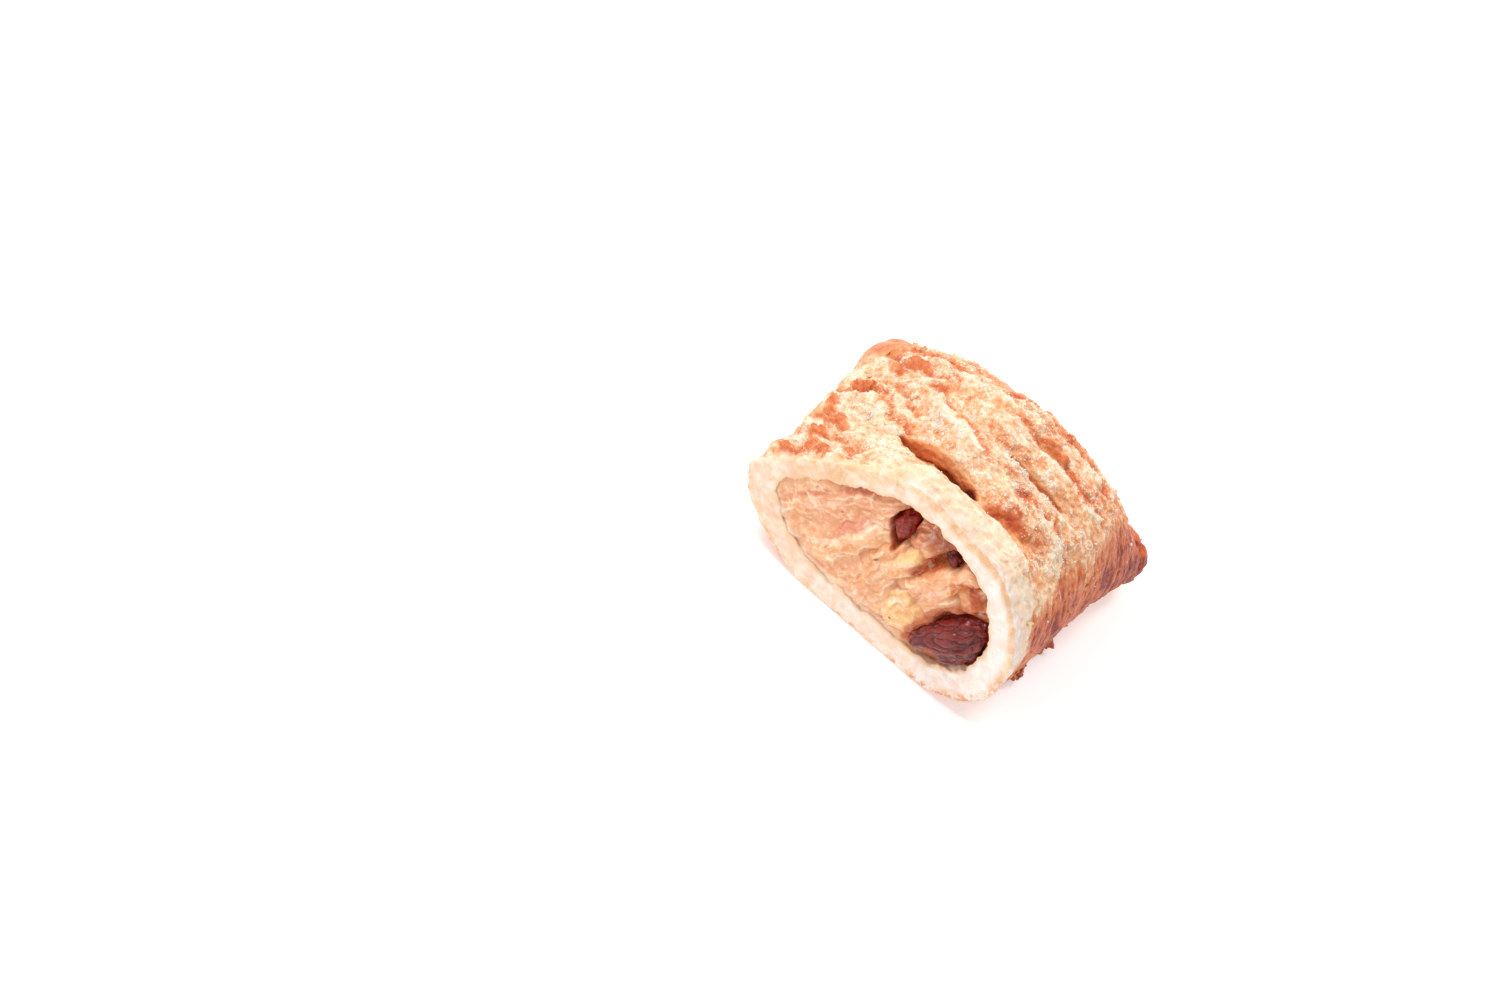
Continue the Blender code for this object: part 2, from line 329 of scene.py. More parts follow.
class Look:
    """A material, with short calls that make its nodes and join them. Sizes are in millimetres."""

    def __init__(self, name, soft=None, **constants):
        """soft: how much light goes under the surface, how far in red, green and blue, and a scale."""
        self.material = bpy.data.materials.new(name)
        self.material.use_nodes = True
        self.tree = self.material.node_tree
        self.shader = self.tree.nodes["Principled BSDF"]
        if soft:
            names = ("Subsurface_Weight", "Subsurface_Radius", "Subsurface_Scale")
            constants.update(zip(names, (soft[0], soft[1], soft[2] * MM)))
        for key, value in constants.items():
            self.shader.inputs[key.replace("_", " ")].default_value = value

    def joined(self, **outputs):
        """Joins node outputs to the shader's own sockets, and hands over the material."""
        for key, value in outputs.items():
            self.tree.links.new(value, self.shader.inputs[key.replace("_", " ")])
        return self.material

    def node(self, kind, inputs, **settings):
        """A new node. Each input named gets a constant, a colour or another node's output."""
        made = self.tree.nodes.new("ShaderNode" + kind)
        for key, value in settings.items():
            setattr(made, key, value)
        for key, value in inputs.items():
            if isinstance(value, bpy.types.NodeSocket):
                self.tree.links.new(value, made.inputs[key])
            elif isinstance(value, np.ndarray):
                made.inputs[key].default_value = (*value.tolist(), 1.0)
            else:
                made.inputs[key].default_value = value
        return made

    def attribute(self, name, output="Fac"):
        return self.node("Attribute", {}, attribute_name=name).outputs[output]

    def coordinates(self, size):
        """Object coordinates, stretched so that a noise of scale 1 has features of this size."""
        place = self.node("TexCoord", {}).outputs["Object"]
        scale = [1.0 / (s * MM) for s in np.broadcast_to(size, 3).tolist()]
        return self.node("Mapping", {"Vector": place, "Scale": scale}).outputs["Vector"]

    def noise(self, size, detail=3.0, roughness=0.55, distortion=0.0):
        values = {"Detail": detail, "Roughness": roughness, "Distortion": distortion}
        values |= {"Scale": 1.0, "Vector": self.coordinates(size)}
        return self.node("TexNoise", values).outputs["Fac"]

    def cells(self, size, feature="F1"):
        values = {"Scale": 1.0, "Vector": self.coordinates(size)}
        return self.node("TexVoronoi", values, feature=feature).outputs["Distance"]

    def math(self, operation, *values):
        return self.node("Math", dict(enumerate(values)), operation=operation).outputs[0]

    def span(self, value, low, high, to_low=0.0, to_high=1.0):
        """One value below low and another above high, with an even turn between."""
        values = {"Value": value, "From Min": low, "From Max": high, "To Min": to_low, "To Max": to_high}
        return self.node("MapRange", values, interpolation_type="SMOOTHSTEP").outputs["Result"]

    def mix(self, share, a, b):
        return self.node("Mix", {0: share, 6: a, 7: b}, data_type="RGBA").outputs[2]

    def tinted(self, colour, value, low, high, strength, tone):
        """The colour, with as much of a tone as the value calls for between low and high."""
        return self.mix(self.span(value, low, high, 0.0, strength), colour, tone)

    def bump(self, height, distance, strength, under=None):
        values = {"Height": height, "Distance": distance * MM, "Strength": strength}
        if under is not None:
            values["Normal"] = under
        return self.node("Bump", values).outputs["Normal"]


# How baked skin looks, from unbaked to burnt.
BROWNING = [
    (0.00, rgb(252, 232, 206)),
    (0.20, rgb(249, 214, 174)),
    (0.40, rgb(238, 170, 116)),
    (0.60, rgb(224, 130, 78)),
    (0.80, rgb(206, 100, 60)),
    (1.00, rgb(148, 54, 36)),
]


def skin_colour(look, fine, tiny):
    """Browned skin, and how far sugar that melted into the glaze, with a painted highlight on the small
    crests, whitens it.
    """
    patch = look.noise((5.0, 3.4, 4.0), 4.0, 0.62, 0.6)
    level = look.attribute("brown")
    # Small crests are painted paler and small hollows browner: painted light and shade.
    for noise, factor in ((fine, -0.85), (patch, 0.55), (tiny, -0.22)):
        level = look.math("ADD", level, look.math("MULTIPLY_ADD", noise, factor, -0.5 * factor))
    ramp = look.node("ValToRGB", {"Fac": level})
    elements = ramp.color_ramp.elements
    while len(elements) < len(BROWNING):
        elements.new(0.5)
    for element, (at, colour) in zip(elements, BROWNING):
        element.position = at
        element.color = (*colour, 1.0)
    # The sugar's white is strongest on the small crests, partly as a painted highlight.
    white = look.math("MULTIPLY", look.attribute("frost_and_glint"), look.span(look.cells(0.5), 0.60, 0.25))
    white = look.math("MULTIPLY", white, look.span(fine, 0.36, 0.52))
    share = look.math("MULTIPLY", white, 0.9)
    return look.mix(share, ramp.outputs["Color"], rgb(255, 247, 237)), white


def dough_colour(look, fine, tiny):
    """Pale leaves of dough, as the cut shows them, and the slightly darker lines between them."""
    layer = look.attribute("layer")
    row = look.math("MULTIPLY_ADD", look.noise(3.5, 4.0, 0.6), 2.4, layer)
    lines = look.math("MULTIPLY_ADD", look.math("SINE", look.math("MULTIPLY", row, 9.0)), 0.5, 0.5)
    lines = look.math("MULTIPLY", lines, look.span(look.noise(1.6, 4.0, 0.65), 0.46, 0.66))
    near_outside = look.math("MULTIPLY_ADD", look.span(layer, 2.4, 0.2), 0.7, 0.5)
    lines = look.math("MULTIPLY", lines, near_outside)
    mottle = look.span(look.noise(3.2, 5.0, 0.65, 0.5), 0.38, 0.62)
    white_dough = look.mix(mottle, rgb(250, 239, 234), rgb(246, 225, 213))
    warm_dough = look.mix(mottle, rgb(247, 218, 190), rgb(232, 184, 142))
    dough = look.mix(look.attribute("warm"), white_dough, warm_dough)
    dough = look.mix(look.math("MULTIPLY", lines, 0.75), dough, rgb(236, 194, 150))
    dough = look.tinted(dough, tiny, 0.68, 0.76, 0.45, rgb(220, 172, 128))
    golden = look.math("MULTIPLY", look.attribute("golden"), look.span(fine, 0.4, 0.6))
    return look.mix(golden, dough, rgb(224, 154, 88)), lines


def juice_and_shade_colour(look, fine, moist_and_shade):
    """Dough that took up juice, with painted shade that darkens it the deeper it lies, and dark red where
    a raisin shows.
    """
    juicy = look.mix(fine, rgb(252, 218, 176), rgb(238, 170, 118))
    juicy = look.tinted(juicy, moist_and_shade, 0.35, 0.75, 1.0, rgb(244, 168, 112))
    juicy = look.tinted(juicy, moist_and_shade, 0.70, 1.00, 1.0, rgb(238, 146, 92))
    return look.tinted(juicy, moist_and_shade, 1.05, 1.60, 1.0, rgb(122, 40, 30))


def crust_material():
    look = Look(
        "baked_crust",
        soft=(0.35, (1.0, 0.6, 0.4), 1.2),
        Coat_Weight=0.08,
        Coat_Roughness=0.2,
        Specular_IOR_Level=0.22,
    )
    crumb, moist_and_shade = look.attribute("crumb"), look.attribute("moist_and_shade")
    fine = look.noise((1.5, 1.2, 1.5), 5.0, 0.66)
    tiny = look.noise(0.5, 3.0, 0.6)
    skin, white = skin_colour(look, fine, tiny)
    dough, lines = dough_colour(look, fine, tiny)
    colour = look.mix(crumb, skin, dough)
    colour = look.tinted(colour, moist_and_shade, 0.0, 0.35, 1.0, juice_and_shade_colour(look, fine, moist_and_shade))

    outside = look.math("SUBTRACT", 1.0, crumb)
    blister = look.cells((1.1, 0.8, 0.9), "SMOOTH_F1")
    pebbly = look.math("SUBTRACT", look.math("MULTIPLY", fine, 1.6), blister)
    surface = look.bump(look.math("MULTIPLY", pebbly, outside), 0.45, 0.9)
    surface = look.bump(look.math("MULTIPLY", white, outside), 0.10, 0.5, surface)
    surface = look.bump(look.math("MULTIPLY", lines, crumb), 0.10, 0.5, surface)
    surface = look.bump(tiny, 0.10, 0.6, surface)
    roughness = look.span(fine, 0.3, 0.7, 0.34, 0.60)
    return look.joined(Base_Color=colour, Roughness=roughness, Normal=surface)


def apple_material():
    look = Look(
        "stewed_apple",
        soft=(0.6, (1.0, 0.6, 0.35), 1.8),
        Coat_Weight=0.25,
        Coat_Roughness=0.10,
        Specular_IOR_Level=0.22,
    )
    fine = look.noise(1.3, 3.0, 0.5, 0.5)
    tiny = look.noise(0.36, 3.0, 0.6)
    broad = look.noise(3.2, 4.0, 0.6, 1.0)
    marble = look.noise(3.6, 4.0, 0.55, 1.4)
    vein = look.math("ABSOLUTE", look.math("SUBTRACT", marble, 0.5))
    colour = look.attribute("tint", "Color")
    # Lighter on the small bumps and darker in their dips: painted highlight and shade.
    colour = look.tinted(colour, fine, 0.52, 0.76, 0.35, rgb(255, 230, 198))
    colour = look.tinted(colour, fine, 0.46, 0.26, 0.35, rgb(214, 128, 76))
    colour = look.tinted(colour, broad, 0.54, 0.70, 0.40, rgb(232, 150, 112))
    colour = look.tinted(colour, vein, 0.10, 0.0, 0.30, rgb(220, 136, 84))
    colour = look.tinted(colour, marble, 0.56, 0.70, 0.5, rgb(255, 228, 192))
    colour = look.tinted(colour, tiny, 0.745, 0.765, 0.8, rgb(96, 34, 22))
    surface = look.bump(fine, 0.16, 0.7)
    surface = look.bump(marble, 0.22, 0.7, surface)
    surface = look.bump(tiny, 0.08, 0.6, surface)
    roughness = look.span(fine, 0.3, 0.7, 0.14, 0.34)
    return look.joined(Base_Color=colour, Roughness=roughness, Normal=surface)


def raisin_material():
    look = Look(
        "raisin_skin",
        soft=(0.3, (1.0, 0.25, 0.12), 0.8),
        Coat_Weight=0.35,
        Coat_Roughness=0.06,
        Specular_IOR_Level=0.2,
    )
    fine = look.noise(0.7, 5.0, 0.65, 0.5)
    # Darker in the folds and lighter on the fine crests: painted shade and highlight.
    colour = look.mix(look.attribute("fold"), rgb(84, 18, 18), rgb(128, 36, 32))
    colour = look.tinted(colour, fine, 0.52, 0.8, 0.5, rgb(160, 60, 46))
    red = look.mix(look.span(fine, 0.35, 0.65), rgb(118, 16, 12), rgb(160, 42, 26))
    colour = look.mix(look.attribute("ruddy"), colour, red)
    roughness = look.span(fine, 0.3, 0.7, 0.16, 0.34)
    return look.joined(Base_Color=colour, Roughness=roughness, Normal=look.bump(fine, 0.24, 0.8))


def sugar_material():
    look = Look("coarse_sugar", soft=(0.7, (1.0, 0.85, 0.7), 0.9), Roughness=0.22, IOR=1.55)
    return look.joined(Base_Color=look.attribute("tint", "Color"))


def caramel_material():
    look = Look("burnt_sugar", soft=(0.4, (1.0, 0.3, 0.1), 1.0), Roughness=0.25)
    fine = look.noise(1.0)
    tone = look.mix(fine, rgb(222, 120, 72), rgb(156, 58, 36))
    return look.joined(Base_Color=tone, Normal=look.bump(fine, 0.2, 0.5))


def flake_material():
    look = Look("pastry_flake", soft=(0.3, (1.0, 0.5, 0.25), 0.8), Roughness=0.42, Coat_Weight=0.2)
    fine = look.noise(0.7)
    colour = look.tinted(look.attribute("tint", "Color"), fine, 0.4, 0.8, 0.4, rgb(190, 110, 60))
    return look.joined(Base_Color=colour, Normal=look.bump(fine, 0.12, 0.5))


# ---------------------------------------- the crust

# The two slashes that opened: middle, half length, half width, turn and bow.
SLITS = [(-1.6, -18.4, 11.2, 2.6, -13.0, -0.8), (12.8, -5.0, 9.2, 1.5, 6.0, -0.8)]

# Spots on top that caught the heat: middle, half length, half width, turn and how brown.
BROWNED = [
    (-26.5, -27.5, 3.6, 1.8, -30, 0.45),
    (-21.8, -26.3, 1.8, 0.9, -20, 0.40),
    (-25.4, -21.2, 4.2, 1.7, -70, 0.45),
    (-23.9, -17.6, 2.8, 1.0, -50, 0.50),
    (-25.4, -13.2, 3.0, 1.2, -60, 0.30),
    (-28.8, -8.0, 4.0, 1.2, -70, 0.35),
    (-27.2, -2.6, 3.2, 0.9, -10, 0.40),
    (-22.8, -3.6, 2.4, 0.8, -15, 0.40),
    (-22.7, 2.4, 1.6, 1.2, -40, 0.50),
    (-20.6, 5.0, 3.2, 1.8, -30, 0.50),
    (-24.5, 7.5, 3.0, 1.2, -65, 0.25),
    (-13.2, 16.0, 3.0, 2.0, 90, 0.35),
    (-9.0, 18.4, 4.4, 1.2, -5, 0.35),
    (-25.5, 24.0, 4.5, 1.4, -10, 0.45),
    (9.3, 3.0, 3.2, 1.1, 5, 0.45),
    (8.4, 5.6, 2.6, 1.8, 0, 0.30),
    (14.4, 2.7, 3.0, 0.9, -5, 0.40),
    (13.4, 5.2, 1.8, 1.6, 0, 0.30),
    (18.6, 1.7, 2.2, 0.9, 10, 0.35),
    (8.2, -11.4, 2.2, 1.2, 10, 0.40),
    (5.2, -13.4, 2.2, 0.9, -5, 0.30),
    (12.2, -12.6, 2.4, 1.2, -10, 0.35),
    (16.6, -11.4, 2.2, 1.2, 20, 0.40),
    (21.6, -10.2, 2.2, 1.3, 10, 0.35),
    (6.0, 16.5, 3.2, 2.4, 20, 0.35),
    (11.0, 16.0, 2.4, 3.4, 0, 0.45),
    (10.5, 28.0, 3.6, 1.8, 0, 0.40),
    (12.8, -20.0, 2.4, 1.3, 10, 0.42),
    (18.0, -18.4, 5.0, 1.7, 10, 0.36),
    (23.0, -19.0, 3.2, 2.2, 0, 0.22),
]

# Knobs of puffed dough along the left, browned on top and pale round the foot: middle, half length,
# half width and turn.
KNOBS = [
    (-25.0, -21.6, 3.6, 2.0, -65),
    (-23.4, -16.8, 2.7, 1.7, -50),
    (-22.6, -26.2, 3.0, 1.7, -15),
    (-27.4, -28.0, 2.6, 1.6, -20),
    (-28.6, -10.6, 3.4, 1.7, -65),
    (-26.4, -3.0, 3.6, 1.5, -15),
    (-21.2, 5.6, 3.6, 2.0, -35),
    (-23.8, 2.4, 1.9, 1.2, -60),
    (-25.6, 24.2, 4.4, 1.9, -8),
    (11.2, 3.4, 3.4, 1.7, 0),
]

# The front slash runs on to the right as a shallow groove.
GROOVE = [(12.2, -20.8, 3.2, 1.1, 8, 1.0), (17.4, -19.4, 4.0, 1.5, 14, 0.8)]

# Folds that stand up along the top, each with a hollow behind it: its course, height and half width.
FOLDS = [
    ([(-24, 10.5), (-19, 8.5), (-15.5, 5.4), (-10, 5.0), (-3, 4.6), (6, 4.6)], 0.9, 1.1),
    ([(-2, 9.2), (4, 10), (9, 9.4), (13, 9.8), (21, 9)], 0.9, 1.0),
    ([(-22, 19.4), (-12, 19), (-3, 18), (2, 17.2), (8, 18), (15, 17.2)], 1.0, 1.2),
    ([(-31, -3.5), (-27, -5.5), (-23, -6.8), (-19.5, -11), (-16, -14.2), (-12.5, -15.6)], 0.9, 0.9),
    ([(-15, -0.8), (-12.5, -3.5), (-10, -6.5), (-7, -9.2), (-2.5, -11.6), (2, -13.6)], 0.9, 1.0),
    ([(-31, 11.2), (-27.5, 8), (-25.5, 4), (-24, 1.2)], 0.8, 0.8),
    ([(-21, 2.6), (-17, 1.8), (-13.5, 3.0)], 0.6, 0.8),
    ([(-30, -13.4), (-27, -15.4), (-24.6, -18.2), (-22.8, -20.4)], 0.8, 0.8),
    ([(-27.5, -23.6), (-24, -24.2), (-20.6, -24.0), (-17.4, -26.4)], 0.6, 0.8),
    ([(-24, -3.6), (-20.5, -4.2), (-17.4, -6.6), (-14.8, -9.4)], 0.6, 0.8),
    ([(2, 0.8), (8, 0.4), (14, 1.2), (20, 0.6), (26, 2.6)], 0.6, 0.9),
    ([(16, -13.6), (21, -12.2), (26, -12.8), (30, -15.5)], 0.5, 1.0),
    ([(12, -23.0), (17, -22.6), (22, -24.2), (27, -23.0)], 0.5, 0.8),
]


# How far the lips of each open slash lean in over it.
PINCH = (0.35, 0.45)

OUTER, INNER, CUT = cut_outlines()


def folded(points):
    """How much the folds raise each point of the top, and how far it lies in a hollow behind one."""
    raised, hollow = np.zeros(len(points)), np.zeros(len(points))
    flat = points[:, :2] + 0.7 * drift(perlin, points, 3.2, (27, 28))
    for course, height, width in FOLDS:
        best, behind = np.full(len(points), 1e9), np.zeros(len(points))
        for a, b in zip(np.array(course[:-1], float), np.array(course[1:], float)):
            length = np.linalg.norm(b - a)
            along = (b - a) / length
            way = flat - a
            t = np.clip(way @ along, 0.0, length)
            away = np.linalg.norm(way - t[:, None] * along, axis=1)
            left = along[0] * way[:, 1] - along[1] * way[:, 0]
            behind = np.where(away < best, left, behind)
            best = np.minimum(best, away)
        raised = np.maximum(raised, height * bell(best, width))
        dip = bell(best - 1.7 * width, width) * smooth(behind, 0.0, width)
        hollow = np.maximum(hollow, height * dip)
    # The crests are broken up.
    return raised * (0.45 + 0.75 * smooth(fractal(points, 3.4, 3, 38), -0.5, 0.6)), hollow


def depth_under_top(points):
    """How far each point lies under the highest one near it."""
    cell = np.floor(points[:, :2] / 2.0).astype(int)
    cell -= cell.min(axis=0) - 2
    grid = np.full(tuple(cell.max(axis=0) + 3), -1e9)
    np.maximum.at(grid, (cell[:, 0], cell[:, 1]), points[:, 2])
    highest = grid.copy()
    for i in (-2, -1, 0, 1, 2):
        for j in (-2, -1, 0, 1, 2):
            highest = np.maximum(highest, np.roll(np.roll(grid, i, axis=0), j, axis=1))
    return highest[cell[:, 0], cell[:, 1]] - points[:, 2]


def spots(points, rows):
    total = np.zeros(len(points))
    for cx, cy, a, b, turn, amount in rows:
        along, beside = turned(points, cx, cy, turn)
        total = np.maximum(total, amount * bell(along, a) * bell(beside, b))
    return total


def knobbed(points):
    """How much the knobs raise each point, how far it lies on one and how far round its foot."""
    rise, on, round_it = np.zeros(len(points)), np.zeros(len(points)), np.zeros(len(points))
    flat = points + 0.8 * drift(perlin, points, 2.4, (34, 35, 36))
    for cx, cy, a, b, turn in KNOBS:
        along, beside = turned(flat, cx, cy, turn)
        away = np.hypot(along / a, beside / b)
        rim = bell(away - 1.28, 0.22)
        rise += 1.1 * smooth(away, 1.15, 0.5) - 0.35 * rim
        on = np.maximum(on, smooth(away, 1.12, 0.75))
        round_it = np.maximum(round_it, rim)
    return rise, on, round_it


def along_slit(points, slit):
    """How far points lie along a slash, where 1 is its end, and how far beside its bowed middle."""
    cx, cy, a, _, turn, bow = slit
    along, beside = turned(points, cx, cy, turn)
    along = along / a
    return along, beside - bow * (1.0 - along**2)


def slit_distance(points, slit):
    """How far a point lies from an open slash seen from above, where 1 is on its edge."""
    along, beside = along_slit(points, slit)
    taper = 0.35 + 0.65 * np.clip(1.0 - along**2, 0.0, 1.0)
    return np.hypot(along, beside / (slit[3] * taper))


def pinched(points, slit, amount):
    """Leans the lips of an open slash in over it."""
    along, beside = along_slit(points, slit)
    near = bell(np.abs(beside) - slit[3], 1.1) * np.clip(1.0 - along**2, 0.0, 1.0)
    shift = -np.sign(beside) * amount * near
    turn = math.radians(slit[4])
    moved = points.copy()
    moved[:, 0] -= shift * math.sin(turn)
    moved[:, 1] += shift * math.cos(turn)
    return moved


def near_filling(points):
    """How far each point lies from the plain filling."""
    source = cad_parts["apple_filling"].data
    tree = BVHTree.FromPolygons(
        [v.co / MM for v in source.vertices], [p.vertices[:] for p in source.polygons]
    )
    return np.array([tree.find_nearest(p)[3] for p in points])


def rounded_edge(points, from_outer, outwards, radius):
    """Rounds the edge between the cut and the outside over, as points of an arc."""
    back, inwards = points[:, 1] - CUT, np.maximum(-from_outer, 0.0)
    corner = np.stack([back, inwards], axis=1) - radius[:, None]
    away = np.linalg.norm(corner, axis=1)
    sharp = (corner.max(axis=1) < 0.0) & (away > radius)
    on_arc = radius[:, None] + corner * (radius / np.maximum(away, 1e-6))[:, None]
    shift = np.where(sharp[:, None], on_arc - np.stack([back, inwards], axis=1), 0.0)
    moved = points.copy()
    moved[:, 1] += shift[:, 0]
    moved[:, [0, 2]] -= outwards * shift[:, 1:]
    return moved


def crust_mesh():
    """The solid crust, fine and even, with fewer faces where the filling hides it."""
    mesh = remeshed("pastry_crust", CRUST_VOXEL)
    points = points_of(mesh)
    hidden = (near_filling(points) < 1.3) & (points[:, 1] > CUT + 5.0)
    apart = np.min([slit_distance(points, slit) for slit in SLITS], axis=0)
    hidden &= (apart > 1.6) | (points[:, 2] < 20.0)
    mesh = changed(mesh, "DECIMATE", np.nonzero(hidden)[0], ratio=CRUST_SHARE)
    points = relax(points_of(mesh), edges_of(mesh), 2)
    set_points(mesh, points)
    return mesh, points


def crust_zones(points, normal):
    """How far each point lies in each zone of the crust, as shares from 0 to 1."""
    x, y, z = points.T
    up = normal[:, 2]
    at = SimpleNamespace(x=x, y=y, z=z, up=up, flat=points[:, [0, 2]])
    at.from_outer, at.outwards = outline_distance(at.flat, OUTER)
    at.from_inner, _ = outline_distance(at.flat, INNER)
    at.near_cut = smooth(y, CUT + 1.3, CUT + 0.5)
    at.on_cut = at.near_cut * smooth(-normal[:, 1], 0.35, 0.75)

    # The cavity's walls face a line along the middle of the half.
    out = (points - np.array([1.0, 0.0, 18.0])) * np.array([1.0, 0.15, 1.0])
    out /= np.linalg.norm(out, axis=1)[:, None]
    facing = np.einsum("ij,ij->i", normal, out)
    at.cavity = smooth(near_filling(points), 2.2, 1.2) * smooth(facing, 0.1, -0.2) * (1.0 - at.near_cut)
    at.top = smooth(up, 0.15, 0.6)
    at.base = smooth(-up, 0.3, 0.7) * (1.0 - at.cavity)
    at.side = smooth(x, 20.0, 28.0) * (1.0 - smooth(up, 0.35, 0.8))
    at.end = smooth(y, 19.0, 25.0)
    at.left = smooth(x, -17.0, -25.0) * smooth(z, 8.0, 14.0)
    at.ear = smooth(x, -25.0, -29.0) * smooth(y, 9.0, 13.0)
    at.far = smooth(y, -4.0, 10.0) * smooth(z, 20.0, 28.0)

    # Walls of the open slashes: under the top, inside or on the outline of a slash.
    at.upper = smooth(z, 24.0, 29.0)
    at.apart_of_front = slit_distance(points, SLITS[0])
    at.apart = np.minimum(at.apart_of_front, slit_distance(points, SLITS[1]))
    at.slit = at.upper * smooth(at.apart, 1.35, 1.12) * smooth(up, 0.80, 0.45)
    at.slit *= smooth(y, CUT + 3.0, CUT + 5.0)
    at.sunk = np.clip((depth_under_top(points) - 1.5) / 6.5, 0.0, 1.0)
    at.skin = np.clip(1.0 - at.on_cut - at.cavity, 0.0, 1.0) * (1.0 - 0.8 * at.slit)

    # The strip before the front slash is pale, flaky and bare, and blends into the cut.
    strip_end = CUT + 6.5 + 1.6 * perlin(points, 6.0, 3)
    at.strip = smooth(y, strip_end + 1.2, strip_end - 2.2) * smooth(x, -13.0, 0.0)
    at.strip *= smooth(z, 14.0, 24.0) * (1.0 - at.base)
    rim_end = CUT + 1.4 + 0.9 * perlin(points, 3.0, 4)
    at.rim = smooth(y, rim_end + 0.9, rim_end - 0.5) * (1.0 - at.base)
    at.pale = np.maximum(at.strip, at.rim) * (1.0 - at.on_cut)

    # Juice set dark and lumpy along the foot of the right side, and scorched the wall over it.
    at.foot = smooth(x, 25.5, 28.0) * smooth(z + 0.8 * perlin(points, 2.5, 19), 6.0, 4.0)
    at.foot *= smooth(y, CUT + 11.0, CUT + 14.0) * smooth(y, 6.0, 3.0) * at.skin
    over_foot = np.clip(bell(y + 12.6, 4.2) + bell(y + 0.4, 3.6), 0.0, 1.0)
    reach_up = 9.0 + 5.0 * over_foot + 2.2 * fractal(points, 3.0, 2, 18)
    at.scorched = smooth(x, 25.0, 29.0) * smooth(z, reach_up, reach_up - 5.0) * at.skin * over_foot
    return at


def crust_relief(points, at):
    """How far each point stands out: lumps, blisters, folds and wrinkles."""
    at.lumps = fractal(points, 5.2, 2, 5)
    near, following = cells(points, (2.5, 2.1, 2.3), 2)
    blister = 1.0 - np.clip(near * 1.25, 0.0, 1.0) ** 2
    at.crease = smooth(following - near, 0.0, 0.28)
    grain = 0.5 - np.clip(cells(points, (1.25, 1.1, 1.15), 6)[0] * 1.2, 0.0, 1.0) ** 2
    at.pebble = fractal(points, 1.4, 2, 9)
    at.raised, at.hollow = folded(points)
    rise, at.on_knob, at.round_knob = knobbed(points)
    at.groove = spots(points, GROOVE)
    at.rough = at.skin * (1.0 - 0.75 * at.pale) * (1.0 - 0.7 * at.base) * (1.0 - 0.85 * at.ear)

    height = 0.50 * at.lumps + (0.42 + 0.55 * at.far) * (blister - 0.45) * at.crease
    height += 0.26 * grain + 0.20 * at.pebble
    height += 1.3 * spots(points, BROWNED) * (0.5 + 0.5 * at.crease) * (1.0 + at.left)
    height += (at.raised - 0.7 * at.hollow + rise) * at.top - 1.2 * at.groove
    # The right side is drawn tight into wrinkles.
    at.drawn = ridged(points, (6.0, 1.3, 9.0), 12)
    strands = ridged(points, (4.0, 0.8, 5.0), 13)
    tight = 0.30 * at.lumps + 0.36 * (at.drawn**2 - 0.4) + 0.18 * (strands**2 - 0.4)
    height = mix(height, tight, at.side)
    at.knobs = np.abs(fractal(points, (3.0, 4.2, 3.6), 2, 15))
    height += at.left * (0.6 * at.knobs - 0.2)
    height += at.end * 0.35 * fractal(points, 3.0, 2, 21)
    at.crest = smooth(at.rough * height, -0.5, 0.8)

    # Leaves of dough part a little along the pale strip.
    at.leaves = ridged(points, (9.0, 1.3, 1.3), 17)
    leafy = 0.36 * (at.leaves - 0.6) + 0.20 * at.pebble + 0.16 * grain + 0.25 * at.lumps
    move = at.rough * height + at.skin * at.pale * leafy
    move += 0.25 * at.base * at.skin * perlin(points, 4.0, 23)
    lumpy = 0.55 * fractal(points, 2.4, 2, 25) + 0.25 * grain
    move = mix(move, lumpy, np.maximum(at.foot, 0.8 * at.scorched))
    return move + 0.30 * at.slit * fractal(points, (3.0, 1.6, 1.2), 3, 29)


def crust_edges(points, at):
    """Draws the slashes' lips together, and makes the cut and the wall's edges uneven."""
    for slit, amount in zip(SLITS, PINCH):
        points = pinched(points, slit, amount * at.upper)
    crumbly = 0.16 * fractal(points, 1.8, 2, 31) + 0.10 * perlin(points, 6.0, 35)
    points[:, 1] += at.on_cut * (crumbly + 0.12)
    ragged = 0.75 * fractal(points, 3.4, 3, 33) * at.near_cut
    ragged *= bell(at.from_inner, 1.0) + 0.35 * bell(at.from_outer, 1.0)
    outwards = at.flat - np.array([2.0, 19.0])
    outwards /= np.linalg.norm(outwards, axis=1)[:, None]
    points[:, [0, 2]] += outwards * ragged[:, None]
    # The knife dragged the upper right edge down, so the cut rounds into the strip there.
    dragged = smooth(at.x, -9.0, 1.0) * smooth(at.z, 19.0, 25.0) * smooth(at.x, 33.0, 27.0)
    points = rounded_edge(points, at.from_outer, at.outwards, mix(0.6, 3.0, dragged))
    points[:, 2] = np.maximum(points[:, 2], 0.0)
    return points


